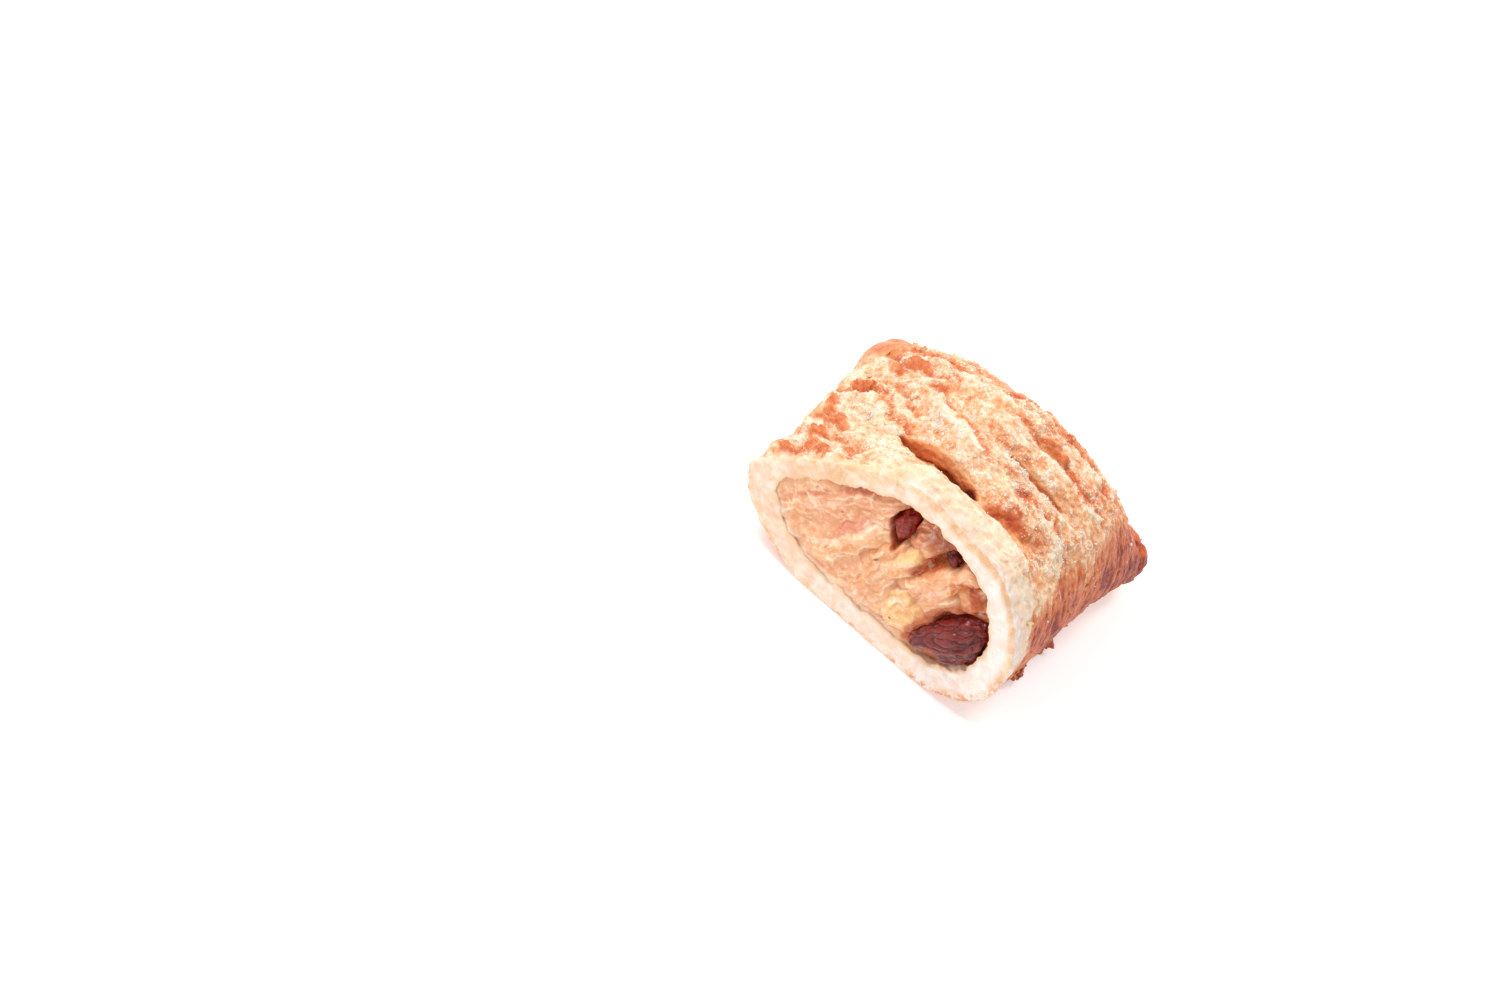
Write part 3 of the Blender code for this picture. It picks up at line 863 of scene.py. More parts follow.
def crust_browning(points, at):
    """How brown each point is: the spots that caught the heat, with painted shade that browns the hollows
    and creases and painted light that keeps the crests paler.
    """
    x, y, z = at.x, at.y, at.z
    warped = points + 1.1 * drift(fractal, points, 3.0, (45, 46, 47), 2)
    baked = spots(warped, BROWNED) * smooth(at.up, -0.1, 0.2)
    # Crests are painted paler and the creases between blisters browner: painted light and shade.
    brown = 0.30 - 0.20 * at.crest + 0.14 * smooth(fractal(points, 9.0, 3, 41), -0.5, 0.7) + baked
    brown += 0.10 * (1.0 - at.crease) * at.rough
    # Hollows behind the folds are painted browner and the folds paler: painted shade and light.
    on_top = 0.08 * at.far + 0.26 * at.hollow - 0.14 * at.raised
    on_top += 0.30 * at.on_knob * (0.7 + 0.8 * at.pebble) - 0.26 * at.round_knob
    brown += on_top * at.top
    brown += 0.14 * at.left * smooth(at.knobs, 0.05, 0.5)
    # On the right side it is browner lower down, and its wrinkles are painted browner between them and
    # paler on their crests: painted shade and light.
    brown += at.side * (0.52 * smooth(z, 38.0, 18.0) + 0.34 * (0.6 - at.drawn**2))
    brown += 0.14 * smooth(z, 10.0, 3.0) * (1.0 - at.base)
    brown += 0.26 * smooth(y, 2.0, 20.0) * smooth(x, 24.0, 31.0)
    brown += 0.30 * at.end * smooth(z, 24.0, 12.0)
    for tone, share in (
        (0.57 + 0.10 * at.lumps, at.ear),
        (0.58 + 0.15 * perlin(points, 6.0, 43), at.base),
        (0.14 + 0.16 * (1.0 - at.leaves), np.clip(at.pale, 0.0, 1.0)),
        (0.84 + 0.20 * at.pebble, np.maximum(at.foot, 0.85 * at.scorched)),
    ):
        brown = mix(brown, tone, share)
    # Where the roll turns down at the left it stayed pale, round the browned knobs.
    turn = bell(x + 29.6, 1.8) * smooth(z, 17.0, 22.0) * (1.0 - at.ear) * (1.0 - at.near_cut)
    brown -= 0.30 * turn * (1.0 - np.clip(2.0 * baked, 0.0, 1.0))
    dark = np.clip(at.side + at.base + at.end + at.foot + at.scorched, 0.0, 1.0)
    return np.minimum(brown, 0.66 + 0.34 * dark)


def crust_frost_and_glint(points, at):
    """How much melted sugar, and a painted highlight on the crests, whiten each point: most on pale
    crests of the top.
    """
    dusted = 0.6 + 0.9 * smooth(fractal(points, 5.0, 2, 49), -0.5, 0.5) + 0.4 * at.raised
    dusted = (dusted + 0.8 * at.round_knob) * (1.0 - 0.85 * at.on_knob)
    frost_and_glint = at.top * at.rough * (0.35 + 0.65 * at.crest) * dusted * smooth(at.brown, 0.75, 0.45)
    for bare in (at.side, at.groove, at.ear, at.foot):
        frost_and_glint = frost_and_glint * (1.0 - bare)
    return frost_and_glint


def crust_moisture_and_shade(at):
    """How far juice, and painted shade deep in the slashes, darken each point. A raisin shows darker
    still at the front slash's end.
    """
    soaked = at.near_cut * smooth(at.from_inner, 1.3, 0.1)
    soaked *= 0.5 + 0.5 * np.clip(1.0 + at.lumps, 0.0, 2.0)
    # Down in the slashes the walls get darker with depth: painted shade.
    moist_and_shade = np.max([at.cavity, at.slit * (0.30 + 0.9 * at.sunk), 0.20 * soaked], axis=0)
    raisin = smooth(at.apart_of_front, 1.35, 1.1) * bell(at.x - 6.6, 2.4) * smooth(at.sunk, 0.0, 0.3)
    return np.clip(moist_and_shade, 0.0, 1.0) + at.slit * raisin


def crust_warmth(points, at):
    """How much colour the cut dough took on: most at the left and in a band under the top."""
    band = smooth(-at.from_outer, 2.4, 0.6) * smooth(at.z + 0.35 * at.x, 22.0, 30.0) * at.on_cut
    warm = 0.26 + 0.40 * smooth(at.x, 6.0, -18.0) + 1.2 * band - 0.30 * smooth(at.x, 14.0, 26.0)
    warm += 0.35 * smooth(at.z, 20.0, 26.0) * smooth(at.x, 4.0, -8.0)
    return warm + 0.25 * fractal(points, 4.0, 2, 50)


def golden_skin(points, at):
    """A golden skin edges the cut low on the right and along the base."""
    width = mix(0.6, 1.3, smooth(at.x, 8.0, 20.0))
    edge = bell(at.from_outer + 0.3, width) * at.near_cut * smooth(at.z, 20.0, 9.0)
    return edge * smooth(perlin(points, 3.5, 47) + 0.6 * smooth(at.x, 2.0, 22.0), -0.3, 0.3)


def build_crust():
    """Makes the crust, and hands over the zones of its points for what is scattered on it."""
    mesh, points = crust_mesh()
    normal = normals_of(mesh)
    at = crust_zones(points, normal)
    points = crust_edges(points + normal * crust_relief(points, at)[:, None], at)
    set_points(mesh, points)
    at.brown = crust_browning(points, at)
    crumb = at.on_cut + (0.7 * at.rim + 0.35 * at.strip) * (1.0 - at.on_cut)
    set_value(mesh, "brown", np.clip(at.brown, 0.0, 1.0))
    set_value(mesh, "frost_and_glint", np.clip(crust_frost_and_glint(points, at), 0.0, 1.0))
    set_value(mesh, "crumb", np.clip(crumb, 0.0, 1.0))
    set_value(mesh, "moist_and_shade", crust_moisture_and_shade(at))
    set_value(mesh, "layer", np.where(at.on_cut > 0.3, -at.from_outer, 0.8 * (at.y - CUT)))
    set_value(mesh, "warm", np.clip(crust_warmth(points, at), 0.0, 1.0))
    set_value(mesh, "golden", golden_skin(points, at))
    mesh.shade_smooth()
    made = new_object("crust", mesh, crust_material())
    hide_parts("pastry_crust")
    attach(made, "root")
    at.points, at.normal = points, normals_of(mesh)
    return at


# ---------------------------------------- the filling

# Pieces of apple at the cut: centre across and up, half length, half width, turn, how proud the
# piece stands, how domed it is, and its colour.
PINK = rgb(230, 168, 128)
BEIGE = rgb(235, 180, 138)
CREAM = rgb(243, 199, 153)
YELLOW = rgb(243, 202, 138)
TAN = rgb(232, 166, 112)
ROSE = rgb(226, 142, 122)
BROWN = rgb(188, 106, 70)
AMBER = rgb(204, 108, 60)
# The darkest red is painted shade, for where the apple lies deep under the top right of the wall.
SHADE_RED = rgb(124, 36, 24)
RED = rgb(206, 92, 76)
DARK = rgb(84, 26, 22)
RUST = rgb(190, 84, 44)
GLINT = rgb(255, 232, 206)
MAROON = rgb(158, 50, 34)
BLUSH = rgb(246, 216, 192)

APPLE = [
    (-12.8, 22.2, 12.0, 6.4, 44, 2.1, 1.4, PINK),
    (-18.0, 15.0, 6.5, 4.6, 62, 2.2, 1.2, BEIGE),
    (-5.2, 27.6, 6.2, 4.4, 40, 1.9, 1.0, PINK),
    (-8.0, 19.9, 5.2, 1.2, 56, 2.3, 0.6, ROSE),
    (-6.6, 16.6, 9.8, 2.7, 60, 2.7, 0.9, CREAM),
    (-9.8, 10.6, 5.0, 2.2, 34, 2.5, 0.8, CREAM),
    (-9.8, 6.8, 5.0, 2.8, 10, 2.0, 0.8, PINK),
    (0.8, 12.4, 6.8, 5.4, 62, 2.7, 1.1, BEIGE),
    (1.0, 20.2, 5.4, 2.2, 76, 2.4, 0.8, TAN),
    (4.4, 20.4, 6.4, 2.3, 66, 2.6, 0.8, CREAM),
    (9.6, 12.4, 5.8, 4.2, 56, 3.0, 1.1, YELLOW),
    (6.6, 8.8, 4.6, 2.0, 20, 2.4, 0.8, CREAM),
    (13.6, 20.6, 5.0, 3.6, 50, 2.8, 1.0, BEIGE),
    (14.2, 25.9, 8.4, 2.1, 54, 3.1, 0.3, BEIGE),
    (8.2, 30.2, 4.6, 2.6, 56, 1.5, 0.5, rgb(222, 142, 100)),
    (5.2, 32.2, 3.4, 2.4, 30, 0.9, 0.6, BROWN),
    (20.4, 26.2, 3.6, 2.0, 30, 2.0, 0.8, TAN),
    (12.8, 14.6, 3.2, 2.4, 40, 2.3, 0.8, TAN),
]

# Stains that the juice left and dark specks, with painted highlights in the GLINT streaks and painted
# shade in the darkest red under the top of the wall: centre, half length, half width, turn, colour and
# strength.
STAINS_AND_PAINTED_LIGHT = [
    (-7.6, 4.6, 2.6, 0.8, 32, RED, 0.80),
    (-10.6, 6.6, 4.0, 1.6, 10, ROSE, 0.55),
    (-9.4, 29.6, 5.0, 1.1, 38, RUST, 0.70),
    (-17.6, 21.0, 4.0, 0.7, 48, RUST, 0.50),
    (-18.0, 12.0, 3.8, 0.8, -80, TAN, 0.80),
    (-15.8, 19.6, 2.6, 0.9, -15, GLINT, 0.60),
    (-12.4, 23.6, 3.6, 0.6, 60, GLINT, 0.45),
    (-8.4, 20.2, 4.6, 0.8, 62, ROSE, 0.60),
    (-11.0, 12.8, 4.9, 0.8, 47, GLINT, 0.75),
    (-4.6, 22.6, 5.6, 0.8, 66, GLINT, 0.65),
    (-6.2, 15.4, 4.6, 0.6, 57, TAN, 0.80),
    (-2.0, 22.0, 2.4, 0.6, 52, TAN, 0.75),
    (0.4, 13.6, 3.2, 0.9, 75, TAN, 0.65),
    (4.8, 19.6, 3.6, 0.6, 64, TAN, 0.65),
    (10.7, 18.0, 2.8, 0.6, 84, RUST, 0.45),
    (2.4, 17.0, 3.4, 0.5, 70, GLINT, 0.55),
    (7.8, 14.2, 2.8, 0.7, 48, GLINT, 0.60),
    (13.6, 23.2, 4.4, 0.5, 56, GLINT, 0.55),
    (5.4, 25.0, 3.6, 1.0, 55, YELLOW, 0.70),
    (-0.2, 25.8, 3.4, 0.5, -60, RUST, 0.90),
    (9.6, 25.8, 5.2, 1.1, 54, RUST, 1.0),
    (8.0, 22.4, 1.2, 0.6, 40, rgb(170, 70, 40), 0.90),
    (10.8, 31.2, 2.6, 1.2, -20, RUST, 0.60),
    (6.6, 30.4, 2.6, 0.5, 70, GLINT, 0.60),
    (8.4, 31.6, 4.6, 0.9, -20, SHADE_RED, 0.90),
    (16.7, 26.2, 2.4, 1.1, 60, rgb(226, 140, 66), 0.90),
    (16.2, 28.0, 1.9, 0.7, 36, RUST, 0.90),
    (21.4, 25.6, 5.4, 1.5, -40, RUST, 0.90),
    (17.2, 20.2, 6.0, 1.3, 56, RUST, 0.85),
    (5.6, 5.8, 3.4, 0.9, 28, RUST, 0.60),
    (12.8, 30.6, 2.6, 1.5, 50, SHADE_RED, 0.90),
    (0.2, 18.5, 0.7, 0.22, 50, DARK, 0.9),
    (8.8, 9.8, 0.32, 0.28, 0, DARK, 0.9),
    (2.6, 6.4, 0.34, 0.24, 0, DARK, 0.8),
    (-12.2, 7.2, 0.40, 0.24, 0, DARK, 0.9),
    (-10.6, 22.4, 0.30, 0.24, 0, DARK, 0.7),
    (11.6, 29.2, 0.36, 0.26, 0, DARK, 0.8),
]

# The outlines of the two cut raisins seen from the front, as (x, z) corners.
RAISIN_OUTLINES = {
    "raisin_low": [
        (12.8, 7.6), (12.7, 10.3), (13.6, 13.6), (17.4, 18.8), (22.6, 24.0), (24.9, 24.3),
        (26.6, 20.6), (27.6, 14.6), (24.6, 10.6), (22.6, 9.0), (18.1, 9.0), (14.8, 7.2),
    ],
    "raisin_high": [
        (-1.8, 29.0), (-1.2, 31.4), (1.7, 33.9), (2.8, 33.2), (2.3, 27.5), (1.7, 23.4), (-0.1, 25.4),
    ],
}


def towards_upper_right(flat):
    """How far (x, z) points lie up and to the right of the middle of the filling."""
    return 0.6 * (flat[:, 0] - 1.0) + 0.8 * (flat[:, 1] - 19.0)


def apple_surface(flat):
    """How proud the cut apple stands at (x, z) points, its colour, and how deep in a crease."""
    space = np.stack([flat[:, 0], np.zeros(len(flat)), flat[:, 1]], axis=1)
    warp = drift(fractal, space, 4.5, (51, 52), 3)
    p = flat + 1.25 * warp
    lean = towards_upper_right(flat)
    floor = mix(1.9, -0.2, smooth(lean, -5.0, 6.0)) + 0.4 * fractal(space, 4.0, 3, 53)
    heights = [floor]
    # The floor between the pieces turns amber towards the upper right, where it lies deeper: partly
    # juice, partly painted shade.
    colours = [mix(BEIGE, AMBER, smooth(lean, -4.0, 6.0)[:, None])]
    for index, (cx, cz, a, b, turn, proud, dome, colour) in enumerate(APPLE):
        along, beside = turned(p, cx, cz, turn)
        away = (np.abs(along / a) ** 3 + np.abs(beside / b) ** 3) ** (1 / 3)
        shape = proud - dome * away**3 - 2.4 * np.clip(away - 1.0, 0.0, None)
        local = np.stack([along, beside, np.full(len(p), 3.1 * index)], axis=1)
        fibres = fractal(local, (5.0, 0.9, 9.0), 3, 60 + index)
        heights.append(shape + 0.16 * fibres)
        # Each piece is lighter along its raised fibres and darker along the sunk ones: painted highlight
        # and shade.
        streaked = mix(colour, GLINT, (0.75 * smooth(fibres, 0.15, 0.8))[:, None])
        colours.append(mix(streaked, 0.82 * TAN, (0.75 * smooth(fibres, -0.15, -0.8))[:, None]))
    heights = np.array(heights)
    weights = np.exp(4.5 * (heights - heights.max(axis=0)))
    weights /= weights.sum(axis=0)
    surface = (weights * heights).sum(axis=0)
    colour = np.einsum("ij,ijk->jk", weights, np.array(colours))
    ordered = np.sort(heights, axis=0)
    crease = bell(ordered[-1] - ordered[-2], 0.30)
    p = flat + 0.45 * warp
    for cx, cz, a, b, turn, mark_colour, strength in STAINS_AND_PAINTED_LIGHT:
        along, beside = turned(p, cx, cz, turn)
        share = strength * smooth(np.hypot(along / a, beside / b), 1.25, 0.65)
        colour = mix(colour, mark_colour, share[:, None])
    return surface, colour, crease


def cut_apple(grid, wall):
    """How far along Y the cut apple lies at (x, z) points, given how near the wall is, and its colour."""
    x, z = grid.T
    proud, colour, crease = apple_surface(grid)
    beside_low, _ = outline_distance(grid, np.array(RAISIN_OUTLINES["raisin_low"]))
    beside_high, _ = outline_distance(grid, np.array(RAISIN_OUTLINES["raisin_high"]))

    # It sinks under the top right of the wall, in a wedge near it and under the high raisin.
    hollow = bell(x - 9.5, 5.5) * bell(z - 31.5, 4.5)
    hollow = np.maximum(hollow, 0.8 * bell(x - 22.0, 4.5) * bell(z - 28.0, 3.0))
    wedge = np.hypot((x - 9.4 - 0.55 * (z - 26.4)) / 1.3, (z - 26.4) / 5.0)
    rim = smooth(wall, -1.6, 0.3) * mix(0.1, 0.9, smooth(towards_upper_right(grid), -6.0, 4.0))
    proud = proud - 2.2 * hollow - 3.2 * smooth(beside_high, 0.5, -0.4)
    proud = proud - 1.5 * smooth(wedge, 1.2, 0.5) - rim

    # Creases and sunk parts are brown, partly juice and partly painted shade, and the rim under the top
    # of the wall gets a painted shadow.
    brown = 0.75 * crease * smooth(proud, 2.6, 0.6) + 0.8 * smooth(proud, 0.8, -0.8)
    shadow_under_wall = smooth(wall, -1.3, -0.2) * smooth(z + 0.3 * x, 16.0, 24.0)
    brown = np.clip(np.clip(brown, 0.0, 1.0) + 0.55 * shadow_under_wall, 0.0, 1.0)
    lower_edge = smooth(wall, -2.2, 0.0) * smooth(z + 0.15 * x, 13.0, 8.0) * smooth(x, 13.0, 9.0)
    # The dark red where the apple sinks under the top right of the wall is painted shade.
    for tone, share in (
        (AMBER, brown),
        (SHADE_RED, 0.75 * hollow * smooth(proud, 1.2, -1.0)),
        (RUST, 0.85 * smooth(beside_low, 1.3, 0.3)),
        (MAROON, 0.9 * smooth(beside_high, 0.5, 0.1)),
        (BLUSH, 0.8 * lower_edge),
    ):
        colour = mix(colour, tone, share[:, None])
    return CUT + 2.3 - proud, colour


def build_apple_face(shader):
    """The cut surface of the apple, as a fine grid that ends inside the wall."""
    low, high = INNER.min(axis=0) - 1.2, INNER.max(axis=0) + 1.2
    columns, rows = ((high - low) / APPLE_STEP).astype(int)
    xs, zs = np.linspace(low[0], high[0], columns), np.linspace(low[1], high[1], rows)
    grid = np.stack(np.meshgrid(xs, zs), axis=-1).reshape(-1, 2)
    wall, _ = outline_distance(grid, INNER)
    y, colour = cut_apple(grid, wall)
    keep = wall < 1.0
    index = np.full(len(grid), -1)
    index[keep] = np.arange(keep.sum())
    corner = index.reshape(rows, columns)
    quads = np.stack([corner[:-1, :-1], corner[:-1, 1:], corner[1:, 1:], corner[1:, :-1]], axis=-1)
    quads = quads.reshape(-1, 4)
    quads = quads[(quads >= 0).all(axis=1)]
    mesh = mesh_of("apple_face", np.stack([grid[:, 0], y, grid[:, 1]], axis=1)[keep], quads.tolist())
    set_colour(mesh, "tint", colour[keep])
    mesh.shade_smooth()
    face = new_object("apple_face", mesh, shader)
    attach(face, "root")


def build_apple_body(shader):
    """The rest of the filling, which shows in the slashes. Its front lies behind the cut surface."""
    body = remeshed("apple_filling", BODY_VOXEL)
    points = relax(points_of(body), edges_of(body), 3)
    set_points(body, points)
    normal = normals_of(body)
    back = smooth(points[:, 1], CUT + 1.0, CUT + 12.0)
    lumps = fractal(points, 4.5, 3, 71)
    points = points + normal * (0.5 * lumps * back)[:, None]
    points[:, 1] += 4.5 * (1.0 - back)
    set_points(body, points)
    set_colour(body, "tint", mix(TAN, AMBER, smooth(lumps, 0.3, -0.5)[:, None]))
    body.shade_smooth()
    inside = new_object("apple_body", body, shader)
    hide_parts("apple_filling")
    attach(inside, "root")


# ---------------------------------------- raisins


def shaped(points, outline):
    """Draws the points out, as seen from the front, until their outline is the one given."""
    corners = np.array(outline)
    middle = corners.mean(axis=0)
    corner_turn = np.arctan2(*(corners - middle).T[::-1])
    order = np.argsort(corner_turn)
    corners, corner_turn = corners[order], corner_turn[order]
    flat = points[:, [0, 2]] - points[:, [0, 2]].mean(axis=0)
    turn = np.arctan2(flat[:, 1], flat[:, 0])
    away = np.linalg.norm(flat, axis=1)
    sector = np.floor((turn + math.pi) / (2 * math.pi) * 48).astype(int) % 48
    widest = np.zeros(48)
    np.maximum.at(widest, sector, away)
    centres = (np.arange(48) + 0.5) / 48 * 2 * math.pi - math.pi
    reach = np.interp(turn, centres, widest, period=2 * math.pi)
    a = np.searchsorted(corner_turn, turn) - 1
    p, q = corners[a] - middle, corners[(a + 1) % len(corners)] - middle
    direction = np.stack([np.cos(turn), np.sin(turn)], axis=1)
    edge = q - p
    target = (p[:, 0] * edge[:, 1] - p[:, 1] * edge[:, 0]) / (
        direction[:, 0] * edge[:, 1] - direction[:, 1] * edge[:, 0]
    )
    scale = np.clip(target / reach, 0.75, 1.35)
    moved = points.copy()
    moved[:, [0, 2]] = middle + flat * scale[:, None]
    return moved


def wrinkled(points, normal, size, seed, depth):
    """The raisin's points with folds pressed in along it, and how far each lies out of a fold."""
    warp = drift(perlin, points, 3.0, (seed, seed + 1, seed + 2))
    middle = points.mean(axis=0)
    axes = np.linalg.svd(points - middle, full_matrices=False)[2]
    lengthwise = (points - middle) @ axes.T
    folds = 1.0 - np.abs(perlin(lengthwise + warp, (5.5, 1.6, 1.6), seed + 3)) * 2.0
    folds = np.clip(folds, 0.0, 1.0) ** 2
    fine = ridged(lengthwise + 0.5 * warp, (3.0, 0.9, 0.9), seed + 4) ** 2
    finer = ridged(lengthwise + 0.3 * warp, (1.8, 0.5, 0.5), seed + 5)
    move = depth * (-0.30 * folds - 0.08 * fine + 0.05 * finer)
    move += 0.5 * perlin(points, 5.0, seed + 6) * min(1.0, size / 12)
    return points + normal * move[:, None], 1.0 - folds


def build_raisins():
    shader = raisin_material()
    for index, name in enumerate(("raisin_low", "raisin_high", "raisin_edge", "raisin_slash")):
        low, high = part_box(name)
        size = max(high - low) / MM
        mesh = remeshed(name, 0.16 if size > 9 else 0.12)
        edges = edges_of(mesh)
        points = relax(points_of(mesh), edges, 4)
        if name in RAISIN_OUTLINES:
            points = relax(shaped(points, RAISIN_OUTLINES[name]), edges, 4)
        # The high raisin is smoother and redder than the others, and stands out further.
        is_high = name == "raisin_high"
        points[:, 1] -= 0.7 * is_high
        set_points(mesh, points)
        depth = 0.35 if is_high else 1.0
        points, fold = wrinkled(points, normals_of(mesh), size, 80 + 5 * index, depth)
        set_points(mesh, points)
        set_value(mesh, "fold", fold)
        set_value(mesh, "ruddy", np.full(len(points), float(is_high)))
        mesh.shade_smooth()
        made = new_object(name + "_skin", mesh, shader)
        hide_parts(name)
        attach(made, "root")


# ---------------------------------------- sugar, flakes and crumbs


def frames_on(normal, rng):
    """A random turned set of axes for each normal, the third along it."""
    side = np.cross(normal, rng.normal(size=normal.shape))
    side /= np.linalg.norm(side, axis=1)[:, None]
    third = normal / np.linalg.norm(normal, axis=1)[:, None]
    return np.stack([side, np.cross(third, side), third], axis=1)


def sugar_share(cover):
    """How much of the sugar lies at each point: most on the lips of the slashes and between them."""
    x, y, z = cover.points.T
    lips = bell(cover.apart - 1.9, 0.8) * smooth(y, -17.0, -12.0)
    between = bell(y + 11.0, 4.5) * smooth(x, -13.0, -6.0)
    cluster = smooth(fractal(cover.points, 7.0, 2, 91), -0.45, 0.5)
    share = cover.top * (0.10 + 0.90 * cluster) * (0.15 + 0.85 * cover.crest)
    share *= 0.12 + 2.0 * lips + 1.1 * between + 0.5 * cover.raised
    share *= cover.skin * (1.0 - np.clip(1.3 * cover.pale, 0.0, 1.0)) * smooth(z, 12.0, 24.0)
    share *= (1.0 - 0.9 * cover.side) * (1.0 - 0.8 * cover.left)
    for bare in (cover.on_knob, cover.slit, cover.base, cover.ear, cover.foot):
        share *= 1.0 - bare
    return share / share.sum()


def build_sugar(cover):
    """Coarse sugar: crystals half melted into the glaze."""
    rng = np.random.default_rng(5)
    shape = bmesh.new()
    bmesh.ops.create_icosphere(shape, subdivisions=1, radius=1.0)
    unit = np.array([v.co[:] for v in shape.verts])
    faces = np.array([[v.index for v in f.verts] for f in shape.faces])
    shape.free()
    pick = rng.choice(len(cover.points), SUGAR_COUNT, p=sugar_share(cover))
    size = 0.09 + 0.14 * rng.random(SUGAR_COUNT) ** 2.0
    stretch = rng.uniform(0.7, 1.4, (SUGAR_COUNT, 3))
    place = cover.points[pick] + rng.normal(scale=0.14, size=(SUGAR_COUNT, 3))
    turn = frames_on(rng.normal(size=(SUGAR_COUNT, 3)), rng)
    local = unit[None] * (1.0 + rng.uniform(-0.25, 0.25, (SUGAR_COUNT, len(unit), 1)))
    local = local * (size[:, None] * stretch)[:, None, :]
    verts = np.einsum("nvi,nij->nvj", local, turn) + place[:, None, :]
    faces = (faces[None] + len(unit) * np.arange(SUGAR_COUNT)[:, None, None]).reshape(-1, 3)
    mesh = mesh_of("sugar", verts.reshape(-1, 3), faces.tolist())
    # Each crystal lets some of the crust's colour through.
    level = np.clip(cover.brown[pick], 0.0, 1.0)[:, None]
    crust = mix(rgb(252, 224, 190), rgb(216, 134, 88), level)
    clear = (0.10 + 0.45 * rng.random(SUGAR_COUNT))[:, None]
    tint = mix(rgb(255, 250, 242), crust, clear)
    set_colour(mesh, "tint", np.repeat(tint, len(unit), axis=0))
    mesh.shade_smooth()
    made = new_object("sugar", mesh, sugar_material())
    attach(made, "root")


def flake_share(cover):
    """How many of the flakes lie at each point: most at the left, at the end and low by the cut."""
    _, y, z = cover.points.T
    share = 0.12 + 0.30 * cover.left + 0.4 * cover.end
    share += 2.0 * smooth(z, 5.0, 1.5) * smooth(y, CUT + 6.0, CUT + 1.0)
    share *= cover.skin**2
    for bare in (cover.slit, cover.base, cover.near_cut, cover.strip, cover.ear):
        share *= 1.0 - bare
    return share / share.sum()


def flake_points(rng, size, around, rings):
    """A curled leaf with a ragged edge, as its middle and rings of points."""
    ragged = 1.0 + 0.35 * rng.standard_normal(around)
    ragged = np.clip((ragged + np.roll(ragged, 1)) / 2, 0.45, 1.6)
    curl = rng.uniform(0.10, 0.40)
    narrow = rng.uniform(0.45, 0.9)
    turn = 2.0 * math.pi * np.arange(around) / around
    reach = np.outer(np.arange(1, rings + 1) / rings, ragged)
    u, v = (reach * np.cos(turn)).ravel(), (narrow * reach * np.sin(turn)).ravel()
    leaf = np.stack([u, v, curl * u * u + 0.08 * np.sin(5 * u + 3 * v)], axis=1)
    return np.concatenate([np.zeros((1, 3)), leaf]) * size


def build_flakes(cover):
    """Thin curled leaves of pastry that lift at the browned edges and round the cut."""
    rng = np.random.default_rng(8)
    around, rings = 14, 3
    steps = [(a, (a + 1) % around) for a in range(around)]
    fan = [(0, 1 + a, 1 + b) for a, b in steps]
    bands = [
        (low + a, low + around + a, low + around + b, low + b)
        for low in range(1, 1 + (rings - 1) * around, around)
        for a, b in steps
    ]
    verts, faces, tints = [], [], []
    for at in rng.choice(len(cover.points), FLAKE_COUNT, p=flake_share(cover)):
        normal = cover.normal[at]
        size = rng.uniform(0.35, 0.95)
        axes = frames_on((normal + rng.normal(scale=0.25, size=3))[None], rng)[0]
        leaf = flake_points(rng, size, around, rings) @ axes + cover.points[at] + normal * 0.03
        start = len(verts) * len(leaf)
        faces += [tuple(start + corner for corner in face) for face in fan + bands]
        verts.append(leaf)
        level = float(np.clip(cover.brown[at] + rng.uniform(-0.15, 0.2), 0, 1))
        tone = mix(rgb(248, 214, 164), rgb(206, 122, 62), smooth(level, 0.1, 0.8))
        tints.append(np.tile(tone, (len(leaf), 1)))
    verts = np.concatenate(verts)
    verts[:, 2] = np.maximum(verts[:, 2], 0.1)
    mesh = mesh_of("flakes", verts, faces)
    set_colour(mesh, "tint", np.concatenate(tints))
    mesh.shade_smooth()
    made = new_object("flakes", mesh, flake_material())
    solid = made.modifiers.new("thickness", "SOLIDIFY")
    solid.thickness = 0.16 * MM
    solid.offset = 0.0
    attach(made, "root")


def build_caramel(cover):
    """Beads of burnt sugar and juice on the foot of the right side."""
    rng = np.random.default_rng(21)
    share = (cover.foot + cover.scorched) * smooth(cover.points[:, 0], 29.0, 31.5)
    share *= smooth(cover.points[:, 2], 11.0, 6.0)
    beads = bmesh.new()
    for at in rng.choice(len(share), CARAMEL_COUNT, p=share / share.sum()):
        size = rng.uniform(0.25, 0.62)
        x, y, z = cover.points[at]
        place = Matrix.Translation(Vector((x, y, max(z, 0.8 * size))) * MM)
        for axis in "ZX":
            place = place @ Matrix.Rotation(rng.uniform(0, 6.28), 4, axis)
        place = place @ Matrix.Diagonal((size * MM, size * 0.8 * MM, size * 0.65 * MM, 1.0))
        bmesh.ops.create_icosphere(beads, subdivisions=2, radius=1.0, matrix=place)
    mesh = bpy.data.meshes.new("caramel")
    beads.to_mesh(mesh)
    beads.free()
    points = points_of(mesh)
    points = points + normals_of(mesh) * (0.22 * fractal(points, 0.9, 2, 95))[:, None]
    points[:, 2] = np.maximum(points[:, 2], 0.02)
    set_points(mesh, points)
    mesh.shade_smooth()
    made = new_object("caramel", mesh, caramel_material())
    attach(made, "root")


# ---------------------------------------- stage


def add_lamp(name, direction, distance, size, power, colour=(1, 1, 1)):
    """A round soft lamp that faces the middle of the half."""
    data = bpy.data.lights.new(name, "AREA")
    data.shape = "DISK"
    data.size = size
    data.energy = power
    data.color = colour
    lamp = bpy.data.objects.new(name, data)
    bpy.context.scene.collection.objects.link(lamp)
    away = Vector(direction).normalized()
    lamp.location = Vector((0.0, 0.0, 0.018)) + away * distance
    lamp.rotation_euler = away.to_track_quat("Z", "Y").to_euler()


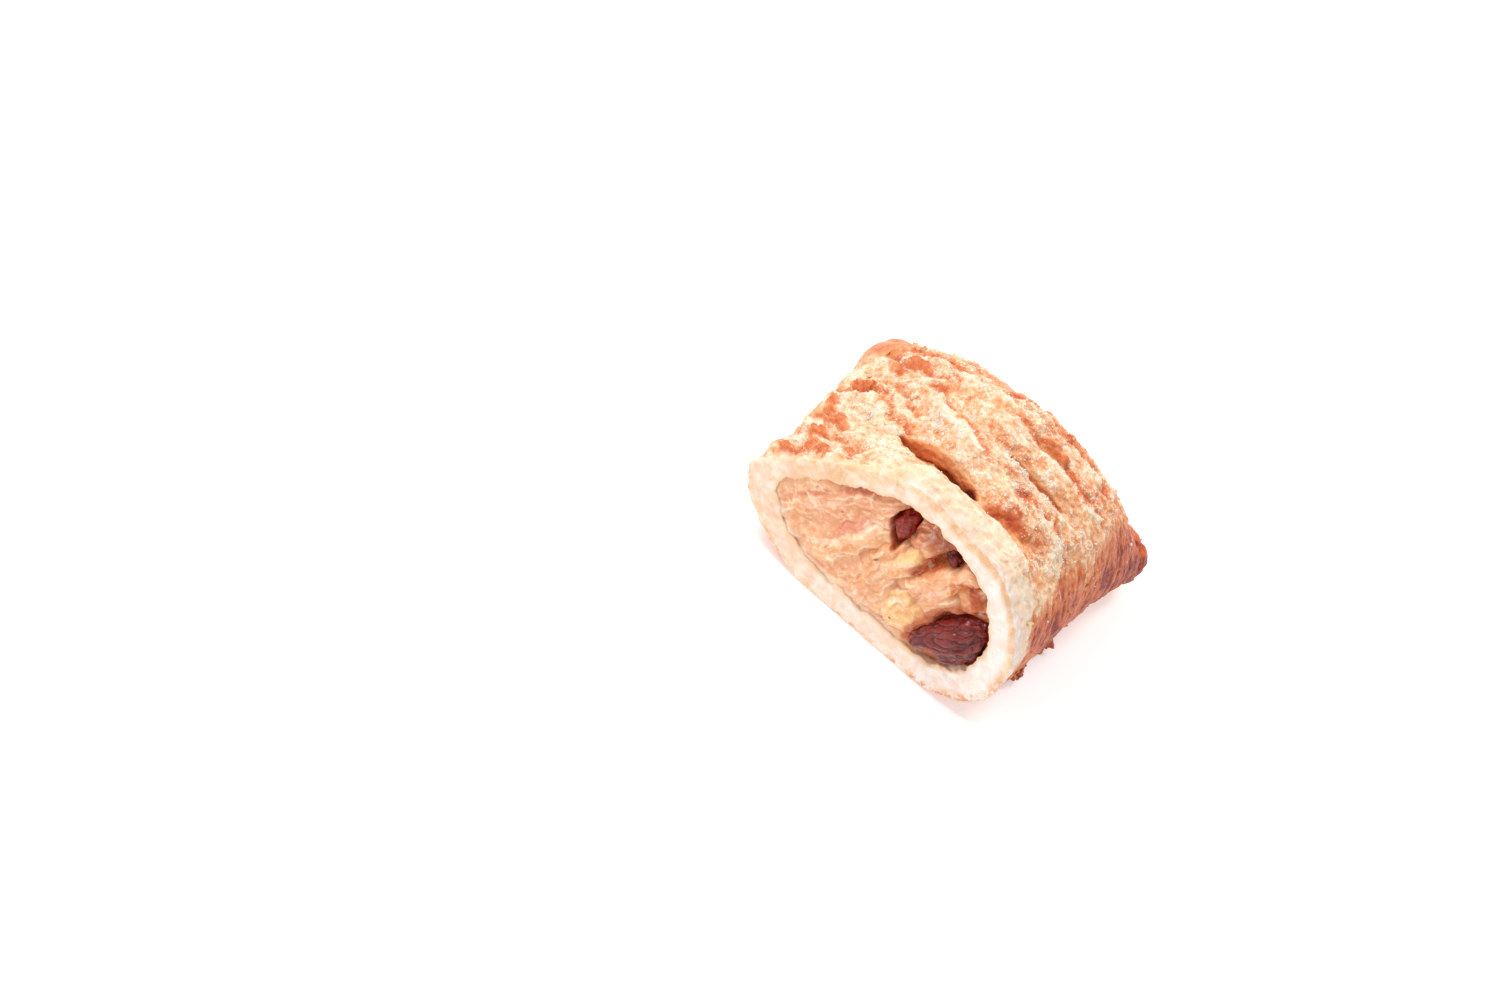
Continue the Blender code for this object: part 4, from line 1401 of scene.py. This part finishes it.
def build_stage():
    """A plain floor, glowing a little so that it stays white under the soft lamps."""
    look = Look(
        "white_floor",
        Base_Color=(0.80, 0.81, 0.82, 1.0),
        Emission_Color=(1.0, 1.0, 1.0, 1.0),
        Emission_Strength=0.42,
        Roughness=0.9,
        Specular_IOR_Level=0.1,
    )
    corners = FLOOR_HALF * np.array([(-1, -1, 0), (1, -1, 0), (1, 1, 0), (-1, 1, 0)])
    mesh = mesh_of("floor", corners, [(0, 1, 2, 3)])
    floor = bpy.data.objects.new("floor", mesh)
    bpy.context.scene.collection.objects.link(floor)
    floor.data.materials.append(look.material)
    floor.location.z = -FLOOR_GAP * MM
    floor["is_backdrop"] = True

    world = bpy.data.worlds.new("studio")
    bpy.context.scene.world = world
    world.use_nodes = True
    background = world.node_tree.nodes["Background"]
    background.inputs["Color"].default_value = (1.0, 0.985, 0.97, 1.0)
    background.inputs["Strength"].default_value = 0.50
    add_lamp("key", (-0.55, -0.22, 1.0), 1.2, 0.40, 9.0, (1.0, 0.985, 0.96))
    add_lamp("back", (0.15, 0.80, 0.85), 1.2, 0.35, 6.5)
    add_lamp("fill", (-0.35, -0.95, 0.35), 1.4, 0.9, 2.6)


def build_camera():
    """The viewing angle: from the cut side, 45 degrees up, leaning so that the half stands tilted."""
    azimuth, elevation, roll = math.radians(13.98), math.radians(44.97), math.radians(31.03)
    distance, middle_height, shift_right, shift_up = 0.8244, 0.015, -0.0400, -0.00045
    flat = math.cos(elevation)
    back = Vector((math.sin(azimuth) * flat, -math.cos(azimuth) * flat, math.sin(elevation)))
    level = Vector((0, 0, 1)).cross(back).normalized()
    straight = back.cross(level)
    right = level * math.cos(roll) + straight * math.sin(roll)
    up = back.cross(right)
    data = bpy.data.cameras.new("camera")
    data.sensor_width = 36.0
    data.lens = 100.0
    data.clip_start = 0.01
    camera = bpy.data.objects.new("camera", data)
    bpy.context.scene.collection.objects.link(camera)
    turn = Matrix((right, up, back)).transposed().to_4x4()
    place = Vector((0, 0, middle_height)) + back * distance + right * shift_right + up * shift_up
    camera.matrix_world = Matrix.Translation(place) @ turn
    bpy.context.scene.camera = camera


cover = build_crust()
apple_look = apple_material()
build_apple_face(apple_look)
build_apple_body(apple_look)
build_raisins()
build_sugar(cover)
build_flakes(cover)
build_caramel(cover)
build_stage()
build_camera()
bpy.context.scene.view_settings.view_transform = "Standard"

bpy.context.view_layer.update()
new_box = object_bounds()
boxes = {"cad": CAD_BOX, "visual": new_box}
{k: [list(map(float, corner)) for corner in v] for k, v in boxes.items()}
